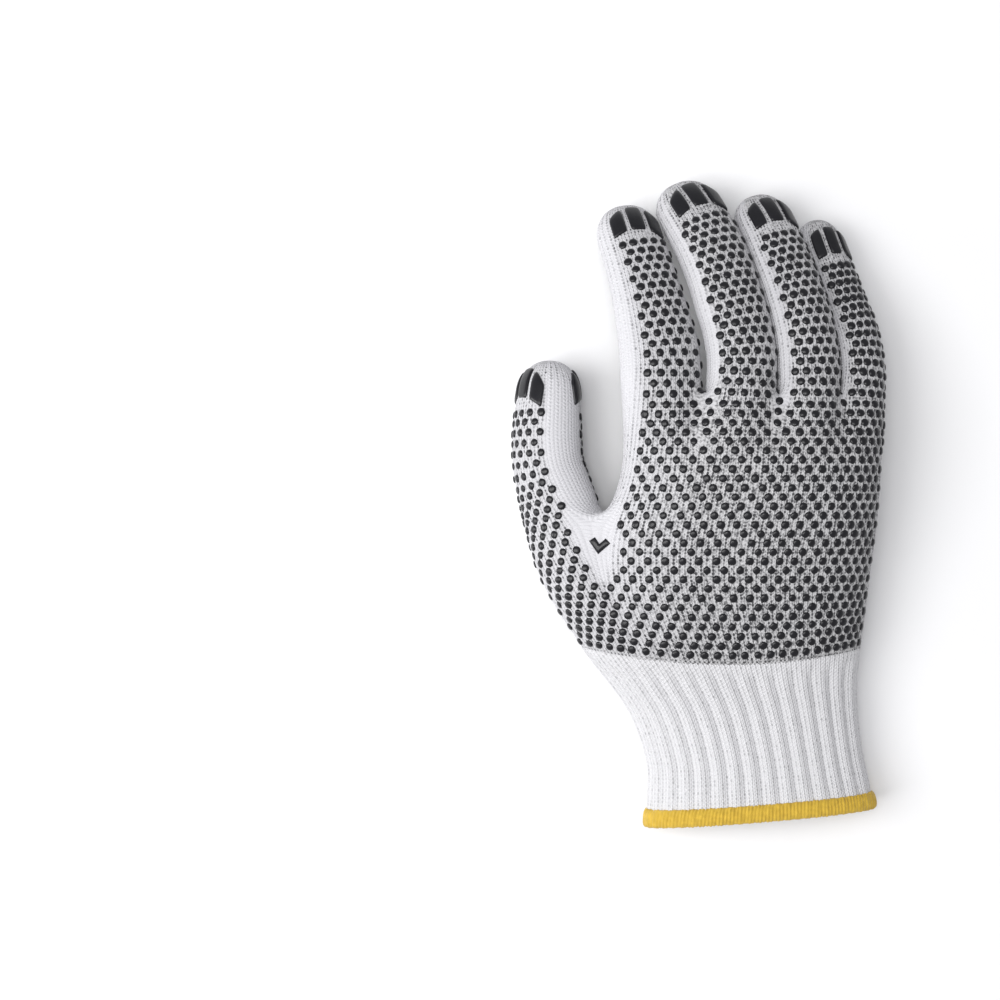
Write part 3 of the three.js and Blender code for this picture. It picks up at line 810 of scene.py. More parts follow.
    def number_courses(self, lower: Panel, upper: Panel, digits: list[Panel]) -> None:
        """Counts knitted rows along each panel, from the mean length between its rings.

        Args:
            lower: The panel from the cuff to the thumb's crotch.
            upper: The panel above it.
            digits: The digits' panels.
        """
        start = {lower.name: 0.0}
        for panel in (lower, upper, *digits):
            rings = self.points[panel.ids]
            steps = np.linalg.norm(np.diff(rings, axis=0), axis=2).mean(axis=1) / COURSE
            before = start.get(panel.name, 0.0)
            panel.course = before + np.concatenate([[0], np.cumsum(steps)])
            if panel is lower:
                start[upper.name] = start[digits[0].name] = panel.course[-1]
            if panel is upper:
                start.update({finger.name: panel.course[-1] for finger in digits[1:]})

    def finish(self) -> None:
        """Lifts all points off the floor, works out the normals and hands each panel its share."""
        self.points[:, 2] = np.maximum(self.points[:, 2], 0)
        found = [panel.quads() for panel in self.panels.values()]
        self.faces = np.concatenate([faces for faces, _ in found])
        self.uv = np.concatenate([uv for _, uv in found])
        fans, fan_uv = [], []
        for panel, pole in self.poles:
            ring = panel.ids[-1]
            fans.append(np.stack([ring, np.roll(ring, -1), np.full_like(ring, pole)], axis=1))
            u = np.arange(len(ring)) * STEP_WALES
            v = np.full(len(ring), panel.course[-1])
            fan = [(u, v), (u + STEP_WALES, v), (u + STEP_WALES / 2, v + 1)]
            fan_uv.append(np.stack([np.stack(corner, axis=1) for corner in fan], axis=1))
        self.fans, self.fan_uv = np.concatenate(fans), np.concatenate(fan_uv)
        self.turn_out()
        self.loose = self.looseness()
        self.groove()
        self.turn_out()
        for panel in self.panels.values():
            panel.points, panel.normals = self.points[panel.ids], self.normals[panel.ids]

    def turn_out(self) -> None:
        """Works out the outward normal of each point."""
        self.normals = unit(face_sums(self.points, self.faces) + face_sums(self.points, self.fans))

    def looseness(self) -> Array:
        """How far each point's wales are spread apart at a crotch: 0 at most places, 1 where they blur.

        Returns:
            A share for each point.
        """
        loose = np.zeros(len(self.points))
        for panel in self.panels.values():
            rings = self.points[panel.ids]
            ahead = np.linalg.norm(np.roll(rings, -1, 1) - rings, axis=2)
            spread = (ahead + np.roll(ahead, 1, 1)) / 2 / STEP_LENGTH
            loose[panel.ids] = np.maximum(loose[panel.ids], smooth((spread - SPREAD_FROM) / SPREAD_RANGE))
        return loose

    def groove(self) -> None:
        """Sinks the line between each two wales, less where they crowd at a tip or are spread apart."""
        depth = np.zeros(len(self.points))
        for panel in self.panels.values():
            rings = self.points[panel.ids]
            spacing = np.linalg.norm(np.roll(rings, -1, 1) - rings, axis=2).mean(axis=1)
            between = np.arange(panel.ids.shape[1]) % WALE_STEPS == 0
            depth[panel.ids] = between * np.minimum(WALE_GROOVE, GROOVE_SHARE * spacing)[:, None]
        self.points -= self.normals * (depth * (1 - self.loose))[:, None]
        self.points[:, 2] = np.maximum(self.points[:, 2], 0)

    def lay(self, flat: Array, near: int = 4, softness: float = 0.05) -> tuple[Array, Array]:
        """Points and normals of the hand's back above given places.

        The height is the mean of the planes through the nearest points of the skin, weighted by one over
        their distance.

        Args:
            flat: The x and y of each place.
            near: How many points count.
            softness: Added to each distance, so that a point right below doesn't take all the weight.

        Returns:
            Points and unit normals in the layout of flat.
        """
        hand = [self.panels[name] for name in ("lower_hand", "upper_hand")]
        points = np.concatenate([panel.points.reshape(-1, 3) for panel in hand])
        normals = np.concatenate([panel.normals.reshape(-1, 3) for panel in hand])
        up = normals[:, 2] > BACK_FACING
        points, normals = points[up], normals[up]
        wanted = flat.reshape(-1, 2)
        offset = wanted[:, None] - points[None, :, :2]
        distance = np.linalg.norm(offset, axis=2)
        nearest = np.argpartition(distance, near, axis=1)[:, :near]
        weight = 1 / (np.take_along_axis(distance, nearest, 1) + softness)
        weight = (weight / weight.sum(axis=1, keepdims=True))[..., None]
        found = normals[nearest]
        away = np.take_along_axis(offset, nearest[..., None], 1)
        fall = np.sum(away * found[..., :2], axis=2) / found[..., 2]
        height = np.sum((points[nearest][..., 2] - fall) * weight[..., 0], axis=1)
        laid = np.concatenate([wanted, height[:, None]], axis=1)
        layout = (*flat.shape[:-1], 3)
        return laid.reshape(layout), unit(np.sum(found * weight, axis=1)).reshape(layout)

    def mesh(self, name: str, cover_and_shade: dict[str, Array]) -> bpy.types.Object:
        """The skin as a closed wall that is open at the wrist.

        The inner side is the outer one moved inwards along the normals, and a strip of quads joins them at
        the cuff. The attribute "printed" tells the knit's material where dots stretch it and how much
        painted shade darkens it there, and "loose" where its wales are spread apart.

        Args:
            name: The piece's name.
            cover_and_shade: How far the print covers and stretches each point of each panel, with the
                painted shade on it.

        Returns:
            The new object.
        """
        count = len(self.points)
        inner = self.points - self.normals * WALL
        inner[:, 2] = np.maximum(inner[:, 2], INNER_LIFT)
        wrist = self.panels["lower_hand"].ids[0]
        ahead = np.roll(wrist, -1)
        rim = np.stack([ahead, wrist, wrist + count, ahead + count], axis=1)
        u = np.arange(len(wrist)) * STEP_WALES
        rim_corners = [(u + STEP_WALES, u * 0), (u, u * 0), (u, u * 0 - 1), (u + STEP_WALES, u * 0 - 1)]
        rim_uv = np.stack([np.stack(corner, axis=1) for corner in rim_corners], axis=1)
        faces = [self.faces, self.fans, self.faces[:, ::-1] + count, self.fans[:, ::-1] + count, rim]
        uv = [self.uv, self.fan_uv, self.uv[:, ::-1], self.fan_uv[:, ::-1], rim_uv]
        made = put_mesh(name, np.concatenate([self.points, inner]), faces, uv)
        # the print's stretch of the knit, with painted shade that is greater towards the right of the hand
        printed = np.zeros(2 * count, np.float32)
        for panel in self.panels.values():
            printed[panel.ids] = cover_and_shade[panel.name]
        for key, values in (("printed", printed), ("loose", np.tile(self.loose, 2).astype(np.float32))):
            layer = made.data.attributes.new(name=key, type="FLOAT", domain="POINT")
            layer.data.foreach_set("value", values)
        return made


def tube_faces(rows: int, columns: int, closed: bool = False) -> Array:
    """Quads of a grid whose columns wrap round, and whose rows do too if closed.

    Args:
        rows: Rings in the grid.
        columns: Points in each ring.
        closed: Whether the last ring joins the first.

    Returns:
        The four point numbers of each quad.
    """
    ids = np.arange(rows * columns).reshape(rows, columns)
    high = np.roll(ids, -1, 0)
    if not closed:
        ids, high = ids[:-1], high[:-1]
    return np.stack([ids, np.roll(ids, -1, 1), np.roll(high, -1, 1), high], axis=-1).reshape(-1, 4)


def tube_uv(u: Array, v: Array, u_step: float, closed: bool = False) -> Array:
    """UV at the corners of tube_faces: u runs along a row, v is one number for each row.

    Args:
        u: The u at each point of a ring.
        v: The v of each ring.
        u_step: How much u grows from one point to the next.
        closed: Whether the last ring joins the first.

    Returns:
        The UV of each quad's corners.
    """
    columns = len(u)
    ends = v if closed else v[:-1]
    high = np.roll(v, -1) if closed else v[1:]
    rows = len(ends)
    grid_u = np.broadcast_to(u, (rows, columns))
    low_v = np.broadcast_to(ends[:, None], (rows, columns))
    high_v = np.broadcast_to(high[:, None], (rows, columns))
    corners = [(grid_u, low_v), (grid_u + u_step, low_v), (grid_u + u_step, high_v), (grid_u, high_v)]
    return np.stack([np.stack(corner, axis=-1) for corner in corners], axis=-2).reshape(-1, 4, 2)


def wrist_rings(y: Array, columns: int) -> tuple[Array, Array]:
    """Rings of the wrist's table and the outward direction at each point.

    Args:
        y: Where the rings are.
        columns: Points in each ring.

    Returns:
        Points and outward directions, a row for each y.
    """
    points = body_sections(WRIST, y).ring(np.linspace(0, 1, columns // 2 + 1), 4 * columns)
    along = np.roll(points, -1, 1) - np.roll(points, 1, 1)
    ahead = np.gradient(points, axis=0)
    return points, unit(np.cross(along, ahead))


@dataclass(frozen=True)
class Cuff:
    """The ribbed wrist band."""

    ribs: int = 30
    steps: int = 12
    rows: int = 44
    depth: float = 1.15
    crest: float = 0.6  # the cosine's power, which makes the ribs broad and the grooves narrow
    level: float = 0.62  # the share of the depth that lies below the wrist's own form
    fade_top: float = 9.0
    fade_end: float = 8.0
    end_share: float = 0.55
    under_hem: float = 1.5
    under_knit: float = 0.4
    inner_lift: float = 0.3
    wales_each: int = 4

    def mesh(self, name: str) -> bpy.types.Object:
        """A tube whose ribs swell as the cosine of the way round.

        They fade out where the printed knit starts, and to end_share at the hem.

        Args:
            name: The piece's name.

        Returns:
            The new object.
        """
        columns = self.ribs * self.steps
        y = np.linspace(HEM_TOP - self.under_hem, CUFF_TOP + self.under_knit, self.rows)
        points, outward = wrist_rings(y, columns)
        points, outward = bow_edge(points, y), unit(bow_edge(outward, y))
        turn = 2 * np.pi * np.arange(columns) / self.steps
        ridge = 0.5 + 0.5 * np.cos(turn)
        at_hem = self.end_share + (1 - self.end_share) * smooth((y - HEM_TOP) / self.fade_end)
        fade = smooth((CUFF_TOP - y) / self.fade_top) * at_hem
        swell = self.depth * (ridge**self.crest - self.level)[None] * fade[:, None]
        outer = points + outward * swell[..., None]
        outer[..., 2] = np.maximum(outer[..., 2], 0)
        inner = points - outward * WALL
        inner[..., 2] = np.maximum(inner[..., 2], self.inner_lift)
        grid = np.concatenate([outer, inner[::-1]])
        u = np.arange(columns) * self.wales_each / self.steps
        run = np.concatenate([[0], np.cumsum(np.diff(y))]) / COURSE
        v = np.concatenate([run, run[::-1]])
        faces = tube_faces(*grid.shape[:2], closed=True)
        uv = tube_uv(u, v, self.wales_each / self.steps, closed=True)
        return put_mesh(name, grid.reshape(-1, 3), [faces], [uv])


@dataclass(frozen=True)
class Hem:
    """The overlocked edge: a band wrapped in thick golden thread."""

    wraps: int = 150
    steps: int = 6
    around: int = 36
    bulge: float = 0.95
    relief: float = 0.34
    slant: float = 1.1
    overlap: float = 0.2
    sections: int = 5
    flatness: float = 0.7
    roundness: float = 0.7
    waves: tuple[tuple[float, float, float], ...] = ((0.12, 2.3, 0.0), (0.08, 5.9, 1.0))
    wave_through: float = 0.6
    wave_along: float = 0.8

    def mesh(self, name: str) -> bpy.types.Object:
        """A closed ring whose cross-section is a flat oval, with a ridge for each turn of the thread.

        The cross-section's angle gives the place along y and through the wall; the ridges are the absolute
        sine of the way round, slanted by the angle. The waves, each a height, a rate and a start, let the
        band swell and thin slowly as wrapped yarn does.

        Args:
            name: The piece's name.

        Returns:
            The new object.
        """
        columns = self.wraps * self.steps
        angle = 2 * np.pi * np.arange(self.around) / self.around
        middle, half = (HEM_TOP + HEM_END) / 2, (HEM_TOP - HEM_END) / 2 + self.overlap
        y = np.linspace(HEM_END, HEM_TOP, self.sections)
        points, outward = wrist_rings(y, columns)
        flat = np.sign(np.cos(angle)) * np.abs(np.cos(angle)) ** self.flatness
        place = np.clip((flat * half + middle - y[0]) / (y[-1] - y[0]), 0, 1) * (len(y) - 1)
        low = np.clip(np.floor(place).astype(int), 0, len(y) - 2)
        part = (place - low)[:, None, None]
        base = points[low] * (1 - part) + points[low + 1] * part
        out = unit(outward[low] * (1 - part) + outward[low + 1] * part)
        turn = np.arange(columns) / self.steps
        phase = turn[None] + self.slant * np.sin(angle / 2)[:, None]
        ridge = np.abs(np.sin(np.pi * phase)) ** self.roundness * self.relief
        wander = sum(tall * np.sin(turn * rate + start) for tall, rate, start in self.waves)
        thick = (WALL + self.bulge) / 2 + wander[None] * self.wave_through
        lift = np.sin(angle)[:, None] * (thick + ridge) - WALL / 2 + self.bulge / 2
        grid = base + out * lift[..., None]
        grid[..., 1] += np.cos(angle)[:, None] * (ridge + wander[None]) * self.wave_along
        grid[..., 2] = np.maximum(grid[..., 2], 0)
        uv = tube_uv(turn, angle / (2 * np.pi), 1 / self.steps, closed=True)
        faces = tube_faces(self.around, columns, closed=True)[:, ::-1]
        return put_mesh(name, grid.reshape(-1, 3), [faces], [uv[:, ::-1]])


class Side(Enum):
    """The two printed sides."""

    BACK = 1
    PALM = -1


@dataclass(frozen=True)
class DotPrint:
    """Rubber dots in a staggered lattice that is counted in knitted columns and rows.

    dome holds the share of the radius and of the height of each of a dot's rings, and the zones are the
    first and the last printed wale of each panel, counted from its left fold.
    """

    half_pitch: float = 1.5
    row_pitch: float = 2.65
    first_row: float = 0.4
    radius: float = 1.56
    radius_range: tuple[float, float] = (0.93, 1.05)
    height: float = 0.66
    height_range: tuple[float, float] = (0.85, 1.12)
    unevenness: float = 0.035
    dome: tuple[tuple[float, float], ...] = ((0.97, -0.35), (1.0, 0.1), (0.86, 0.62), (0.5, 0.93))
    root: float = 0.4
    sides: int = 12
    tip_gap: float = 22.6
    # how the knit between the dots darkens: partly for the stretch, partly as painted shade that grows from
    # the left of the hand towards its middle
    stretch_shade_from: float = -42.0
    stretch_shade_to: float = 8.0
    least_stretch_shade: float = 0.22
    finger_from: float = 20.0
    finger_to: float = 60.0
    finger_stretch_shade: float = 0.62
    soft_columns: int = 2
    fill_from: float = FINGER_CROTCH - 17.0
    fill_gap: float = 3.5
    fill_step: float = 0.25
    zones: dict = field(default_factory=lambda: {
        "lower_hand": (1.0, 74.8),
        "upper_hand": (5.2, 60.6),
        "thumb": (1.0, THUMB_PALM_EDGE),
        "index_finger": (4.9, 19.6),
        "middle_finger": (3.2, 19.6),
        "ring_finger": (4.3, 19.6),
        "little_finger": (4.3, 19.6),
    })

    def lattice(self, panel: Panel, side: Side) -> tuple[Array, Array, Array]:
        """Places of the dots on one side of a panel.

        Args:
            panel: The panel.
            side: Its back or its palm.

        Returns:
            Fractional rows and columns on the panel, and the wale counted from the panel's left fold.
        """
        columns = panel.ids.shape[1]
        offset = STRIP_WALES * panel.first_strip
        width = columns * STEP_WALES / 2
        first, last = offset / self.half_pitch, (offset + width) / self.half_pitch
        low, high = panel.course[0] / self.row_pitch, panel.course[-1] / self.row_pitch
        a = np.arange(math.floor(first), math.ceil(last) + 1)
        b = np.arange(math.ceil(low), math.floor(high) + 1)
        a, b = (grid.ravel() for grid in np.meshgrid(a, b))
        keep = (a + b) % 2 == 0
        wale = a[keep] * self.half_pitch - offset
        row = np.interp(b[keep] * self.row_pitch, panel.course, np.arange(len(panel.course)))
        column = wale / STEP_WALES
        return row, column if side is Side.BACK else columns - column, wale

    def printed(self, panel: Panel, wale: Array, y: Array, side: Side) -> Array:
        """Which places of the lattice carry a dot; the sides and the crotch of the thumb stay bare.

        Args:
            panel: The panel.
            wale: The wale of each place, counted from the panel's left fold.
            y: Where each place is along the glove.
            side: Its back or its palm.

        Returns:
            True where a dot is printed.
        """
        low, high = self.zones[panel.name]
        inside = (wale > low) & (wale < high)
        if panel.name == "lower_hand":
            sunk = np.clip((THUMB_CROTCH - y) / V_DEPTH, 0, 1)
            width = np.sqrt(1 - sunk**2)
            from_parting = wale - (SIDE_WALES / 2 + STRIP_WALES)
            in_v = (from_parting > -V_LEFT * width) & (from_parting < V_RIGHT * width) & (sunk < 1)
            return inside & ~in_v
        if panel.name == THUMB.name and side is Side.BACK:
            drawn_in = THUMB_EDGE_STEP * smooth((THUMB_EDGE_TOP - y) / THUMB_EDGE_RUN)
            return inside & (wale < THUMB_EDGE - drawn_in)
        return inside

    def cover_and_shade(self, panel: Panel) -> Array:
        """How far the dots stretch the knit and painted shade darkens it: 0 off the print, most on the hand
        towards its right, less along the fingers.

        Args:
            panel: The panel.

        Returns:
            A share for each point of the panel.
        """
        rows, columns = panel.ids.shape
        column = np.arange(columns)
        wale = np.broadcast_to(np.minimum(column, columns - column) * STEP_WALES, (rows, columns))
        y = panel.points[..., 1]
        back, palm = (self.printed(panel, wale, y, side) for side in Side)
        # painted shade: the knit between the dots darkens from the left of the hand towards its middle
        across = smooth((panel.points[..., 0] - self.stretch_shade_from) / (self.stretch_shade_to - self.stretch_shade_from))
        stretch = self.least_stretch_shade + (1 - self.least_stretch_shade) * across
        along = smooth((y - self.finger_from) / (self.finger_to - self.finger_from))
        stretch = stretch * (1 - (1 - self.finger_stretch_shade) * along)
        mask = np.where(column <= columns // 2, back, palm).astype(float)
        shifts = range(-self.soft_columns, self.soft_columns + 1)
        soft = sum(np.roll(mask, shift, 1) for shift in shifts) / len(shifts)
        return soft * stretch

    def places(self, skin: KnitSkin, side: Side) -> tuple[Array, Array]:
        """Points and normals of all dots on one side of the glove.

        Args:
            skin: The knitted skin.
            side: Its back or its palm.

        Returns:
            Points and outward normals.
        """
        found = []
        for panel in skin.panels.values():
            row, column, wale = self.lattice(panel, side)
            point, normal = panel.sample(row, column)
            keep = self.printed(panel, wale, point[:, 1], side)
            if panel.name in TIPS:
                middle = panel.ids.shape[1] // 4 if side is Side.BACK else 3 * panel.ids.shape[1] // 4
                line = panel.points[:, middle]
                run = np.concatenate([[0], np.cumsum(np.linalg.norm(np.diff(line, axis=0), axis=1))])
                keep &= run[-1] - np.interp(row, np.arange(len(run)), run) > self.tip_gap
            if panel.name == "lower_hand":
                keep &= row > self.first_row
            found.append((point[keep], normal[keep]))
        found.append(self.fill(skin.panels["upper_hand"], side, np.concatenate([p for p, _ in found])))
        return np.concatenate([p for p, _ in found]), np.concatenate([n for _, n in found])

    def fill(self, panel: Panel, side: Side, placed: Array) -> tuple[Array, Array]:
        """Dots for the gaps that the lattice leaves below the fingers' crotches.

        Args:
            panel: The panel below the crotches.
            side: Its back or its palm.
            placed: The dots that are there.

        Returns:
            Points and normals of the added dots, each at least fill_gap from every other dot.
        """
        low, high = self.zones[panel.name]
        rows, columns = panel.ids.shape
        some_rows = np.arange(1.0, rows - 1 + self.fill_step / 2, self.fill_step)
        row, wale = (grid.ravel() for grid in np.meshgrid(some_rows, np.arange(low, high, self.fill_step)))
        column = wale / STEP_WALES
        point, normal = panel.sample(row, column if side is Side.BACK else columns - column)
        inside = point[:, 1] > self.fill_from
        point, normal = point[inside], normal[inside]
        gap = np.full(len(point), np.inf)
        for dot in placed[placed[:, 1] > self.fill_from - 2 * self.fill_gap]:
            gap = np.minimum(gap, np.linalg.norm(point - dot, axis=1))
        chosen = []
        while gap.max() > self.fill_gap:
            chosen.append(int(gap.argmax()))
            gap = np.minimum(gap, np.linalg.norm(point - point[chosen[-1]], axis=1))
        return point[chosen], normal[chosen]

    def mesh(self, name: str, points: Array, normals: Array, seed: int) -> bpy.types.Object:
        """One mesh of closed domes.

        Each dome is four rings and a pole, whose radius falls while the height rises along a quarter of an
        oval, and a second pole in the knit closes it.

        Args:
            name: The piece's name.
            points: The middle of each dot.
            normals: The outward normal there.
            seed: The random numbers' seed.

        Returns:
            The new object.
        """
        rng = np.random.default_rng(seed)
        count = len(points)
        right = unit(np.cross((0.0, 1.0, 0.0), normals))
        ahead = np.cross(normals, right)
        turn = 2 * np.pi * np.arange(self.sides) / self.sides + rng.uniform(0, 1, (count, 1))
        size = self.radius * rng.uniform(*self.radius_range, (count, 1))
        swell = self.height * rng.uniform(*self.height_range, (count, 1))
        uneven = 1 + self.unevenness * np.sin(2 * turn + rng.uniform(0, 6, (count, 1)))
        flat = np.cos(turn)[..., None] * right[:, None] + np.sin(turn)[..., None] * ahead[:, None]
        rings = []
        for share, lift in self.dome:
            out = flat * (size * share * uneven)[..., None]
            rings.append(points[:, None] + out + (swell * lift)[..., None] * normals[:, None])
        top = points + swell * normals
        low = points - self.root * swell * normals
        block = np.concatenate([*rings, top[:, None], low[:, None]], axis=1)
        stride = block.shape[1]
        start = (np.arange(count) * stride)[:, None, None]
        quads = tube_faces(len(self.dome), self.sides)
        i = np.arange(self.sides)
        j = (i + 1) % self.sides
        last = (len(self.dome) - 1) * self.sides
        pole = last + self.sides
        cap = np.stack([last + i, last + j, np.full_like(i, pole)], 1)
        foot = np.stack([j, i, np.full_like(i, pole + 1)], 1)
        faces = [(start + quads).reshape(-1, 4), (start + np.concatenate([cap, foot])).reshape(-1, 3)]
        return put_mesh(name, block.reshape(-1, 3), faces)


@dataclass(frozen=True)
class TipPrint:
    """Three raised bars on the back, or the palm, of a digit's tip.

    start and end are measured from the tip; a bow draws them back towards the sides, and the slant towards
    the right.
    """

    start: float = 8.8
    bow: float = 0.065
    end: float = 21.0
    end_bow: float = 0.03
    slant: float = 0.12
    gap: float = 1.6
    height: float = 0.85
    end_draw: float = 0.10
    side_draw: float = 0.06
    across: int = 14
    rows: int = 26
    cap_steps: int = 120
    straight: int = 27
    turn_steps: int = 120
    probe: float = 0.3

    def surface(self, own: Digit, side: Side, around: Array, along: Array) -> Array:
        """Points on a digit, measured from its tip.

        The line along the digit's middle turns along into a section, and the section's outline turns around
        into an angle, each measured by its length.

        Args:
            own: The digit.
            side: Its back or its palm.
            around: Millimetres to the right of the middle.
            along: Millimetres behind the tip.

        Returns:
            Points in the layout of around.
        """
        angle = (np.pi / 2) * (1 - np.linspace(0, 1, self.cap_steps))
        base = own.tip - CAP_LENGTH
        y = np.concatenate([base + CAP_LENGTH * np.sin(angle), base - np.arange(1, self.straight + 1)])
        scale = np.concatenate([np.maximum(np.cos(angle), 0) ** CAP_POWER, np.ones(self.straight)])
        scale = np.maximum(scale, 0.01)
        upright = np.full((len(y), 1), side.value * np.pi / 2)
        line = own.sections(y, scale).outline(upright)[:, 0]
        run = np.concatenate([[0], np.cumsum(np.linalg.norm(np.diff(line, axis=0), axis=1))])
        flat_along, flat_around = along.ravel(), around.ravel()
        sections = own.sections(np.interp(flat_along, run, y), np.interp(flat_along, run, scale))
        turn = np.linspace(-1, 1, self.turn_steps + 1)
        angles = np.broadcast_to(side.value * (np.pi / 2) * (1 - turn), (len(flat_along), len(turn)))
        outline = sections.outline(angles)
        steps = np.linalg.norm(np.diff(outline, axis=1), axis=2)
        length = np.concatenate([np.zeros((len(steps), 1)), np.cumsum(steps, axis=1)], axis=1)
        length -= length[:, [len(turn) // 2]]
        found = np.array([np.interp(a, run_row, angle_row)
                          for a, run_row, angle_row in zip(flat_around, length, angles)])
        points = sections.outline(found[:, None])[:, 0]
        points = press_apart(points, own, PRESS_GAP)
        points[:, 2] = np.maximum(points[:, 2], KNIT_LIFT)
        return points.reshape(*around.shape, 3)

    def bar(self, own: Digit, side: Side, from_x: float, to_x: float) -> tuple[Array, Array]:
        """The outer and the inner grid of one bar.

        A square of -1 to 1 is mapped onto the bar with its corners drawn in; the height is the root of one
        less the eighth power of each share, so that the bar is flat with rounded edges.

        Args:
            own: The digit.
            side: Its back or its palm.
            from_x: Millimetres from the print's middle to the bar's left side.
            to_x: And to its right side.

        Returns:
            The bar's outer side and its root in the knit.
        """
        u, v = np.meshgrid(np.linspace(-1, 1, self.across + 1), np.linspace(-1, 1, self.rows + 1))
        u, v = np.sin(u * np.pi / 2), np.sin(v * np.pi / 2)
        x = u * (1 - self.end_draw * v**6)
        z = v * (1 - self.side_draw * u**6)
        around = from_x + (to_x - from_x) * (x + 1) / 2
        fall = self.slant * around if side is Side.BACK else 0.0
        start = self.start + self.bow * around**2 + fall
        end = self.end + self.end_bow * around**2 + fall
        along = start + (end - start) * (z + 1) / 2
        around = around + (own.print_shift if side is Side.BACK else own.palm_shift)
        point = self.surface(own, side, around, along)
        right, left = (self.surface(own, side, around + step, along) for step in (self.probe, -self.probe))
        back, front = (self.surface(own, side, around, along + step) for step in (self.probe, -self.probe))
        normal = unit(np.cross(right - left, back - front)) * -side.value
        bulge = np.sqrt(np.maximum(1 - u**8, 0) * np.maximum(1 - v**8, 0))
        outer = point + normal * (self.height * bulge + PRINT_EDGE)[..., None]
        return outer, point - normal * PRINT_ROOT

    def mesh(self, name: str, own: Digit) -> bpy.types.Object:
        """All bars of one digit.

        Args:
            name: The piece's name.
            own: The digit.

        Returns:
            The new object.
        """
        points, faces, count = [], [], 0
        width = (own.print_width - 2 * self.gap) / 3
        for side in Side:
            for k in range(3):
                start = -own.print_width / 2 + k * (width + self.gap)
                outer, inner = self.bar(own, side, start, start + width)
                if side is Side.PALM:
                    outer, inner = outer[:, ::-1], inner[:, ::-1]
                block, block_faces = slab(outer, inner)
                points.append(block)
                faces.append(block_faces + count)
                count += len(block)
        return put_mesh(name, np.concatenate(points), [np.concatenate(faces)])


@dataclass(frozen=True)
class Chevron:
    """The small printed chevron in the bare V below the thumb's crotch."""

    arms: tuple[tuple[float, float], ...] = ((-40.3, -12.9), (-37.8, -16.6), (-34.4, -13.6))
    half_width: float = 1.3
    height: float = 0.8
    steps: int = 10
    across: int = 8

    def mesh(self, name: str, skin: KnitSkin) -> bpy.types.Object:
        """A plate along the two arms, mitred where they meet and laid on the back of the hand.

        A share of -1 to 1 across is squeezed towards the edges by its sine, and the height is the root of
        one less the square of that share, times the root of one less the sixth power of the one along, so
        that the arms are rounded.

        Args:
            name: The piece's name.
            skin: The knitted skin that it lies on.

        Returns:
            The new object.
        """
        ends = np.array(self.arms)
        ahead = unit(np.diff(ends, axis=0))
        square = np.stack([-ahead[:, 1], ahead[:, 0]], axis=1)
        mitre = (square[0] + square[1]) / (1 + square[0] @ square[1])
        sides = np.array([square[0], mitre, square[1]])
        along = np.linspace(-1, 1, 2 * self.steps + 1)
        across = np.sin(np.linspace(1, -1, self.across + 1) * np.pi / 2)
        run = np.sin(along * np.pi / 2)
        knots = np.array([-1.0, 0.0, 1.0])
        middle = np.stack([np.interp(run, knots, ends[:, k]) for k in range(2)], axis=1)
        side = np.stack([np.interp(run, knots, sides[:, k]) for k in range(2)], axis=1)
        flat = middle[None] + across[:, None, None] * self.half_width * side[None]
        point, normal = skin.lay(flat)
        bulge = np.sqrt(np.maximum(1 - across**2, 0)[:, None] * np.maximum(1 - run**6, 0)[None])
        outer = point + normal * (self.height * bulge + PRINT_EDGE)[..., None]
        block, faces = slab(outer, point - normal * PRINT_ROOT)
        return put_mesh(name, block, [faces])


def slab(outer: Array, inner: Array) -> tuple[Array, Array]:
    """Points and quads of a closed plate.

    Args:
        outer: A grid of points whose rows run along +x and follow each other back from the tip.
        inner: The same grid on the other side.

    Returns:
        All points, and the quads as point numbers.
    """
    rows, columns = outer.shape[:2]
    ids = np.arange(rows * columns).reshape(rows, columns)
    deep = ids + rows * columns
    a, b, c, d = ids[:-1, :-1], ids[:-1, 1:], ids[1:, 1:], ids[1:, :-1]
    top = np.stack([a, d, c, b], axis=-1).reshape(-1, 4)
    bottom = top[:, ::-1] + rows * columns
    rim = np.concatenate([ids[0, :-1], ids[:-1, -1], ids[-1, :0:-1], ids[:0:-1, 0]])
    rim_deep = np.concatenate([deep[0, :-1], deep[:-1, -1], deep[-1, :0:-1], deep[:0:-1, 0]])
    wall = np.stack([rim, np.roll(rim, -1), np.roll(rim_deep, -1), rim_deep], axis=1)
    return np.concatenate([outer.reshape(-1, 3), inner.reshape(-1, 3)]), np.concatenate([top, bottom, wall])


@dataclass(frozen=True)
class KnitFinish:
    """White cotton knit.

    Its second colour is that of the knit between the dots, darker partly for the stretch and partly as
    painted shade; shade is the colour of the painted shade in its holes and furrows and of the yarn's
    darker flecks. hole is how dark the painted shade in the holes is, and the next number how much darker
    it is between the dots. Names that end in rate are a noise's scale.
    """

    name: str
    colour: tuple[float, float, float]
    stretched_and_shaded: tuple[float, float, float]
    shade: tuple[float, float, float]
    hole: float
    printed_hole_shade: float
    relief: float
    leg_slant: float = 1.2
    hole_narrow: float = 3.4
    hole_flat: float = 1.9
    hole_rarity: float = 1.6
    hole_patches: float = 4.4
    row_dip: float = 0.4
    # painted shade in the furrows between the legs and the rows, with more of it between the dots
    furrow_shade: float = 0.05
    printed_furrow_shade: float = 0.26
    mottle: float = 3.4
    mottle_level: float = 0.48
    grain: float = 0.34
    darkest: float = 0.92
    leg_height: float = 0.45
    row_height: float = 0.22
    fuzz_height: float = 0.3
    fuzz_rate: float = 2300
    patch_rate: float = 330
    mottle_rate: float = 900
    relief_depth: float = 0.0006


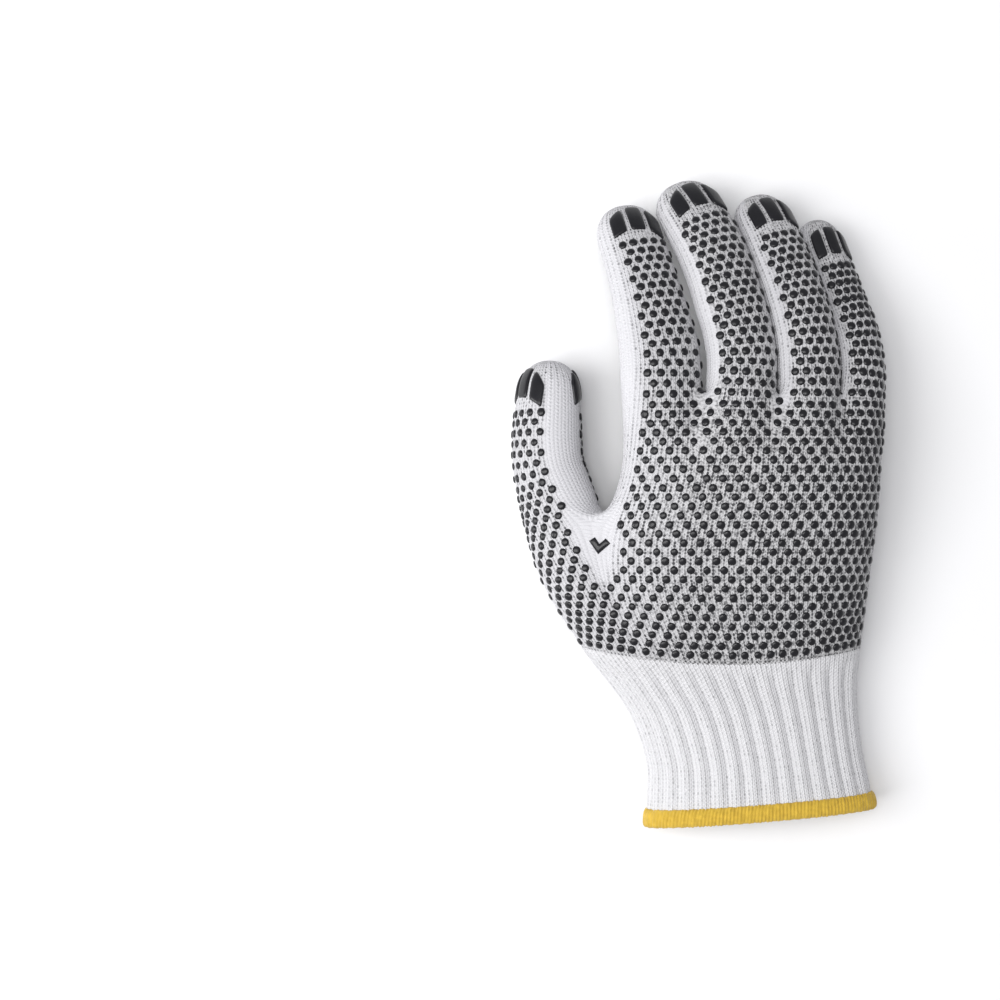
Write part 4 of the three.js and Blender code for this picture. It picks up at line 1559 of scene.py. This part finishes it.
@dataclass(frozen=True)
class ThreadFinish:
    """Golden overlock thread: its colour, a darker colour for painted shade between the plies and for
    uneven tone, and how many plies cross each turn.
    """

    name: str
    colour: tuple[float, float, float]
    shade: tuple[float, float, float]
    plies: float
    ply_slant: float = 260.0
    ply_shade: float = 0.12
    ply_height: float = 0.3
    fuzz_shade: float = 0.6
    patch_shade: float = 0.9
    fuzz_rate: float = 1500
    patch_rate: float = 520
    relief: float = 0.5
    relief_depth: float = 0.0003


@dataclass(frozen=True)
class RubberFinish:
    """Printed charcoal rubber: its two near colours and how rough it is."""

    name: str
    colour: tuple[float, float, float]
    shade: tuple[float, float, float]
    roughness: float
    patch_rate: float = 420
    grain_rate: float = 1400
    relief: float = 0.25
    relief_depth: float = 0.0002


class Graph:
    """A short way to build a material's nodes."""

    def __init__(self, name: str) -> None:
        """A material with one principled shader.

        Args:
            name: The material's name.
        """
        self.material = bpy.data.materials.new(name)
        self.material.use_nodes = True
        self.tree = self.material.node_tree
        self.shader = next(n for n in self.tree.nodes if n.type == "BSDF_PRINCIPLED")

    def node(self, kind: str, **values: str) -> bpy.types.Node:
        """A new node with its settings.

        Args:
            kind: The node's type.
            values: Its settings.

        Returns:
            The node.
        """
        made = self.tree.nodes.new(kind)
        for key, value in values.items():
            setattr(made, key, value)
        return made

    def put(self, value: Value, socket: Socket) -> None:
        """Links a socket, or sets a constant.

        Args:
            value: A socket or a constant.
            socket: Where it goes.
        """
        if isinstance(value, Socket):
            self.tree.links.new(value, socket)
        else:
            socket.default_value = value

    def math(self, operation: str, *values: Value) -> Socket:
        """The result of a math node.

        Args:
            operation: What the node does.
            values: Its inputs in order.

        Returns:
            Its output.
        """
        made = self.node("ShaderNodeMath", operation=operation)
        for value, socket in zip(values, made.inputs):
            self.put(value, socket)
        return made.outputs[0]

    def uv(self) -> tuple[Socket, Socket]:
        """The knitted column and row.

        Returns:
            The number that counts columns, and the one that counts rows.
        """
        split = self.node("ShaderNodeSeparateXYZ")
        self.put(self.node("ShaderNodeUVMap", uv_map="knit").outputs["UV"], split.inputs[0])
        return split.outputs[0], split.outputs[1]

    def noise(self, scale: float, detail: float) -> Socket:
        """Noise over the object's own coordinates.

        Args:
            scale: The noise's scale.
            detail: Its finer layers.

        Returns:
            A number from 0 to 1.
        """
        made = self.node("ShaderNodeTexNoise")
        self.put(self.node("ShaderNodeTexCoord").outputs["Object"], made.inputs["Vector"])
        made.inputs["Scale"].default_value = scale
        made.inputs["Detail"].default_value = detail
        return made.outputs["Fac"]

    def chance(self, *values: Socket) -> Socket:
        """A random number from 0 to 1 for each pair of whole numbers.

        Args:
            values: The two numbers, which are rounded down.

        Returns:
            The random number.
        """
        joined = self.node("ShaderNodeCombineXYZ")
        for value, socket in zip(values, joined.inputs):
            self.put(self.math("FLOOR", value), socket)
        made = self.node("ShaderNodeTexWhiteNoise", noise_dimensions="2D")
        self.put(joined.outputs[0], made.inputs["Vector"])
        return made.outputs["Value"]

    def attribute(self, name: str) -> Socket:
        """The mesh's own number of that name."""
        return self.node("ShaderNodeAttribute", attribute_name=name).outputs["Fac"]

    def mix(self, share: Value, first: Value, second: Value) -> Socket:
        """A mix of two colours; the numbers are those of the node's factor and colour sockets.

        Args:
            share: The share of the second colour.
            first: The first colour.
            second: The second colour.

        Returns:
            The mixed colour.
        """
        made = self.node("ShaderNodeMix", data_type="RGBA")
        for value, number in ((share, 0), (first, 6), (second, 7)):
            ready = isinstance(value, (Socket, float))
            self.put(value if ready else (*value, 1), made.inputs[number])
        return made.outputs[2]

    def clamp(self, value: Value, low: float, high: float) -> Socket:
        """The value, kept between low and high."""
        return self.math("MINIMUM", self.math("MAXIMUM", value, low), high)

    def bump(self, height: Socket, distance: float, strength: float) -> None:
        """Relief of the surface.

        Args:
            height: The relief's height, from 0 to about 1.
            distance: What a height of 1 means, in metres.
            strength: How strongly it shows.
        """
        made = self.node("ShaderNodeBump")
        made.inputs["Strength"].default_value = strength
        made.inputs["Distance"].default_value = distance
        self.put(height, made.inputs["Height"])
        self.put(made.outputs["Normal"], self.shader.inputs["Normal"])

    def set(self, **values: Value) -> None:
        """Sets the shader's sockets, named with underscores for spaces."""
        for key, value in values.items():
            self.put(value, self.shader.inputs[key.replace("_", " ")])


def knit_material(finish: KnitFinish) -> bpy.types.Material:
    """Stocking stitch from the knitted column and row.

    Each column has two legs, whose height is the cosine of the way from the leg's middle; the legs slant,
    so that the rows meet in a V. Between two columns, once in each row, lies a small hole, darkened by
    painted shade whose depth varies. The furrows between the legs and the rows get painted shade too, and
    the knit between the dots is darker, partly for the stretch and partly as painted shade.

    Args:
        finish: The knit's colours and sizes.

    Returns:
        The material.
    """
    g = Graph(finish.name)
    u, v = g.uv()
    side = g.math("ABSOLUTE", g.math("SUBTRACT", g.math("FRACT", u), 0.5))
    leg = g.math("COSINE", g.math("MULTIPLY", g.math("SUBTRACT", side, 0.25), 2 * math.pi))
    slanted = g.math("FRACT", g.math("ADD", v, g.math("MULTIPLY", side, finish.leg_slant)))
    loop = g.math("COSINE", g.math("MULTIPLY", g.math("SUBTRACT", slanted, 0.5), 2 * math.pi))
    between = g.math("MULTIPLY", g.math("SUBTRACT", 0.5, side), finish.hole_narrow)
    above = g.math("MULTIPLY", g.math("SUBTRACT", g.math("FRACT", v), 0.5), finish.hole_flat)
    reach = g.math("ADD", g.math("MULTIPLY", between, between), g.math("MULTIPLY", above, above))
    hole = g.math("MAXIMUM", g.math("SUBTRACT", 1.0, reach), 0.0)
    hole = g.math("MULTIPLY", hole, g.math("SUBTRACT", 1.0, g.attribute("loose")))
    fuzz = g.noise(finish.fuzz_rate, 3)
    patch = g.noise(finish.patch_rate, 3)
    chance = g.chance(g.math("ADD", u, 0.5), v)
    patches = g.math("MULTIPLY", patch, finish.hole_patches)
    strength = g.math("MULTIPLY", g.math("POWER", chance, finish.hole_rarity), patches)
    printed = g.attribute("printed")
    # painted shade in the holes, deeper between the dots
    dark = g.math("ADD", g.math("MULTIPLY", printed, finish.printed_hole_shade), finish.hole)
    depth = g.math("MULTIPLY", hole, g.math("MULTIPLY", strength, dark))
    # painted shade along the furrows between the legs and between the rows
    furrow = g.math("SUBTRACT", g.math("SUBTRACT", 1.0, leg), g.math("MULTIPLY", loop, finish.row_dip))
    furrow_shade_level = g.math("ADD", g.math("MULTIPLY", printed, finish.printed_furrow_shade), finish.furrow_shade)
    furrow_shade = g.math("MULTIPLY", furrow, furrow_shade_level)
    flecks = g.math("SUBTRACT", g.noise(finish.mottle_rate, 2), finish.mottle_level)
    mottle = g.math("MULTIPLY", flecks, g.math("MULTIPLY", printed, finish.mottle))
    grain = g.math("ADD", g.math("MULTIPLY", g.math("SUBTRACT", fuzz, 0.5), finish.grain), mottle)
    shade = g.clamp(g.math("ADD", g.math("ADD", depth, furrow_shade), grain), 0.0, finish.darkest)
    rows = g.math("MULTIPLY", loop, finish.row_height)
    yarn = g.math("ADD", g.math("MULTIPLY", leg, finish.leg_height), rows)
    relief = g.math("ADD", g.math("SUBTRACT", yarn, hole), g.math("MULTIPLY", fuzz, finish.fuzz_height))
    # the knit between the dots: darker for the stretch and as painted shade, more towards the right of the
    # hand
    cloth = g.mix(printed, finish.colour, finish.stretched_and_shaded)
    g.set(Base_Color=g.mix(shade, cloth, finish.shade), Roughness=0.92, Sheen_Weight=0.12,
          Sheen_Roughness=0.5, Specular_IOR_Level=0.2)
    g.bump(relief, finish.relief_depth, finish.relief)
    return g.material


def thread_material(finish: ThreadFinish) -> bpy.types.Material:
    """Fine plies that slant across each turn of the thread: the sine of a slanted way round, which also
    lays painted shade between the plies.

    Args:
        finish: The thread's colours and sizes.

    Returns:
        The material.
    """
    g = Graph(finish.name)
    u, v = g.uv()
    turn = g.math("ADD", g.math("MULTIPLY", u, finish.plies), g.math("MULTIPLY", v, finish.ply_slant))
    ply = g.math("SINE", turn)
    fuzz = g.noise(finish.fuzz_rate, 3)
    uneven = g.math("SUBTRACT", g.noise(finish.patch_rate, 2), 0.5)
    patch = g.math("MULTIPLY", uneven, finish.patch_shade)
    grain = g.math("ADD", g.math("MULTIPLY", fuzz, finish.fuzz_shade), patch)
    # painted shade between the plies, with the yarn's uneven tone from the noise
    shade = g.clamp(g.math("ADD", g.math("MULTIPLY", ply, finish.ply_shade), grain), 0.0, 1.0)
    g.set(Base_Color=g.mix(shade, finish.colour, finish.shade), Roughness=0.7, Sheen_Weight=0.2,
          Specular_IOR_Level=0.35)
    relief = g.math("ADD", g.math("MULTIPLY", ply, finish.ply_height), fuzz)
    g.bump(relief, finish.relief_depth, finish.relief)
    return g.material


def rubber_material(finish: RubberFinish) -> bpy.types.Material:
    """Printed rubber, a little uneven in colour and gloss.

    Args:
        finish: The rubber's colours and gloss.

    Returns:
        The material.
    """
    g = Graph(finish.name)
    patch = g.noise(finish.patch_rate, 2)
    g.set(Base_Color=g.mix(patch, finish.colour, finish.shade), Roughness=finish.roughness,
          Specular_IOR_Level=0.42)
    g.bump(g.noise(finish.grain_rate, 3), finish.relief_depth, finish.relief)
    return g.material


def settle(piece: bpy.types.Object, material: bpy.types.Material, slot: str, *nodes: str) -> None:
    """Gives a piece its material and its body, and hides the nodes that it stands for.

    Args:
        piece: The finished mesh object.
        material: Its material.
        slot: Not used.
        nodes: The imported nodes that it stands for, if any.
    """
    piece.data.materials.append(material)
    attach(piece, BODY)
    if nodes:
        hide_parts(*nodes)
    log.info("%s: %d faces", piece.name, len(piece.data.polygons))


@dataclass(frozen=True)
class Glove:
    """The whole glove."""

    knit: KnitFinish = KnitFinish(
        "white_knit", (0.665, 0.661, 0.685), (0.58, 0.577, 0.585), (0.05, 0.05, 0.056), 0.34, 0.6, 0.6,
    )
    rib: KnitFinish = KnitFinish(
        "white_rib", (0.71, 0.707, 0.723), (0.71, 0.707, 0.723), (0.22, 0.22, 0.225), 0.22, 0.0, 0.55,
    )
    thread: ThreadFinish = ThreadFinish("golden_thread", (0.72, 0.48, 0.05), (0.34, 0.20, 0.012), 9.0)
    rubber: RubberFinish = RubberFinish(
        "charcoal_rubber", (0.004, 0.004, 0.006), (0.009, 0.009, 0.012), 0.3,
    )
    dot_seed: int = 7

    def build(self) -> None:
        """Makes every piece."""
        skin = KnitSkin()
        rubber = rubber_material(self.rubber)
        dots = DotPrint()
        knit = skin.mesh("knit_skin", {panel.name: dots.cover_and_shade(panel) for panel in skin.panels.values()})
        settle(knit, knit_material(self.knit), "knit", "hand", *TIPS)
        settle(Cuff().mesh("ribbed_cuff"), knit_material(self.rib), "rib", "cuff")
        settle(Hem().mesh("wrapped_hem"), thread_material(self.thread), "hem_thread", "hem")
        settle(Chevron().mesh("crotch_chevron", skin), rubber, "print")
        for side in Side:
            points, normals = dots.places(skin, side)
            log.info("%s dots: %d", side.name, len(points))
            piece = dots.mesh(f"dots_{side.name.lower()}", points, normals, self.dot_seed)
            settle(piece, rubber, "print")
        bars = TipPrint()
        for own in (THUMB, *FINGERS):
            nodes = [f"bar_{own.name}_{side.name.lower()}_{k}" for side in Side for k in (1, 2, 3)]
            settle(bars.mesh(f"bars_{own.name}", own), rubber, "print", *nodes)


@dataclass(frozen=True)
class Studio:
    """The floor, the light and the camera of the photograph."""

    camera_at: tuple[float, float, float] = (-0.07402, 0.0009, 0.905)
    lens: float = 85.0
    sensor: float = 36.0
    floor_colour: tuple[float, float, float] = (0.93, 0.93, 0.935)
    floor_half: float = 3.0
    sky_colour: tuple[float, float, float] = (0.97, 0.97, 1.0)
    sky_strength: float = 0.46
    lights: tuple[tuple[str, tuple[float, float, float], float, float], ...] = (
        ("key", (-0.85, -0.12, 1.2), 0.9, 12.5),
        ("top", (-0.2, 0.1, 1.6), 0.5, 7.5),
        ("card", (-1.0, -0.05, 0.24), 0.3, 2.6),
    )

    def floor(self) -> None:
        """A wide plain floor."""
        mesh = bpy.data.meshes.new("floor")
        turns = ((-1, -1), (1, -1), (1, 1), (-1, 1))
        corners = [(x * self.floor_half, y * self.floor_half, 0) for x, y in turns]
        mesh.from_pydata(corners, [], [(0, 1, 2, 3)])
        made = bpy.data.objects.new("floor", mesh)
        bpy.context.scene.collection.objects.link(made)
        g = Graph("floor")
        g.set(Base_Color=(*self.floor_colour, 1), Roughness=0.9)
        mesh.materials.append(g.material)

    def light(self, name: str, at: tuple[float, float, float], size: float, power: float) -> None:
        """A square soft light that faces the glove.

        Args:
            name: The light's name.
            at: Where it stands, in metres.
            size: Its side, in metres.
            power: Its power, in watts.
        """
        data = bpy.data.lights.new(name, "AREA")
        data.size = size
        data.energy = power
        made = bpy.data.objects.new(name, data)
        made.location = at
        aim = -np.array(at)
        flat = math.hypot(aim[0], aim[1])
        made.rotation_euler = (math.atan2(flat, -aim[2]), 0, math.atan2(aim[1], aim[0]) - math.pi / 2)
        bpy.context.scene.collection.objects.link(made)

    def build(self) -> None:
        """Sets the stage."""
        self.floor()
        for name, at, size, power in self.lights:
            self.light(name, at, size, power)
        world = bpy.data.worlds.new("studio")
        world.use_nodes = True
        shade = next(n for n in world.node_tree.nodes if n.type == "BACKGROUND")
        shade.inputs["Color"].default_value = (*self.sky_colour, 1)
        shade.inputs["Strength"].default_value = self.sky_strength
        bpy.context.scene.world = world
        bpy.context.scene.view_settings.view_transform = "Standard"
        data = bpy.data.cameras.new("camera")
        data.lens = self.lens
        data.sensor_width = self.sensor
        made = bpy.data.objects.new("camera", data)
        made.location = self.camera_at
        bpy.context.scene.collection.objects.link(made)
        bpy.context.scene.camera = made


def main() -> None:
    """Builds the glove and its stage."""
    logging.basicConfig(level=logging.INFO)
    Glove().build()
    Studio().build()
    bpy.context.view_layer.update()


if __name__ == "__main__":
    main()
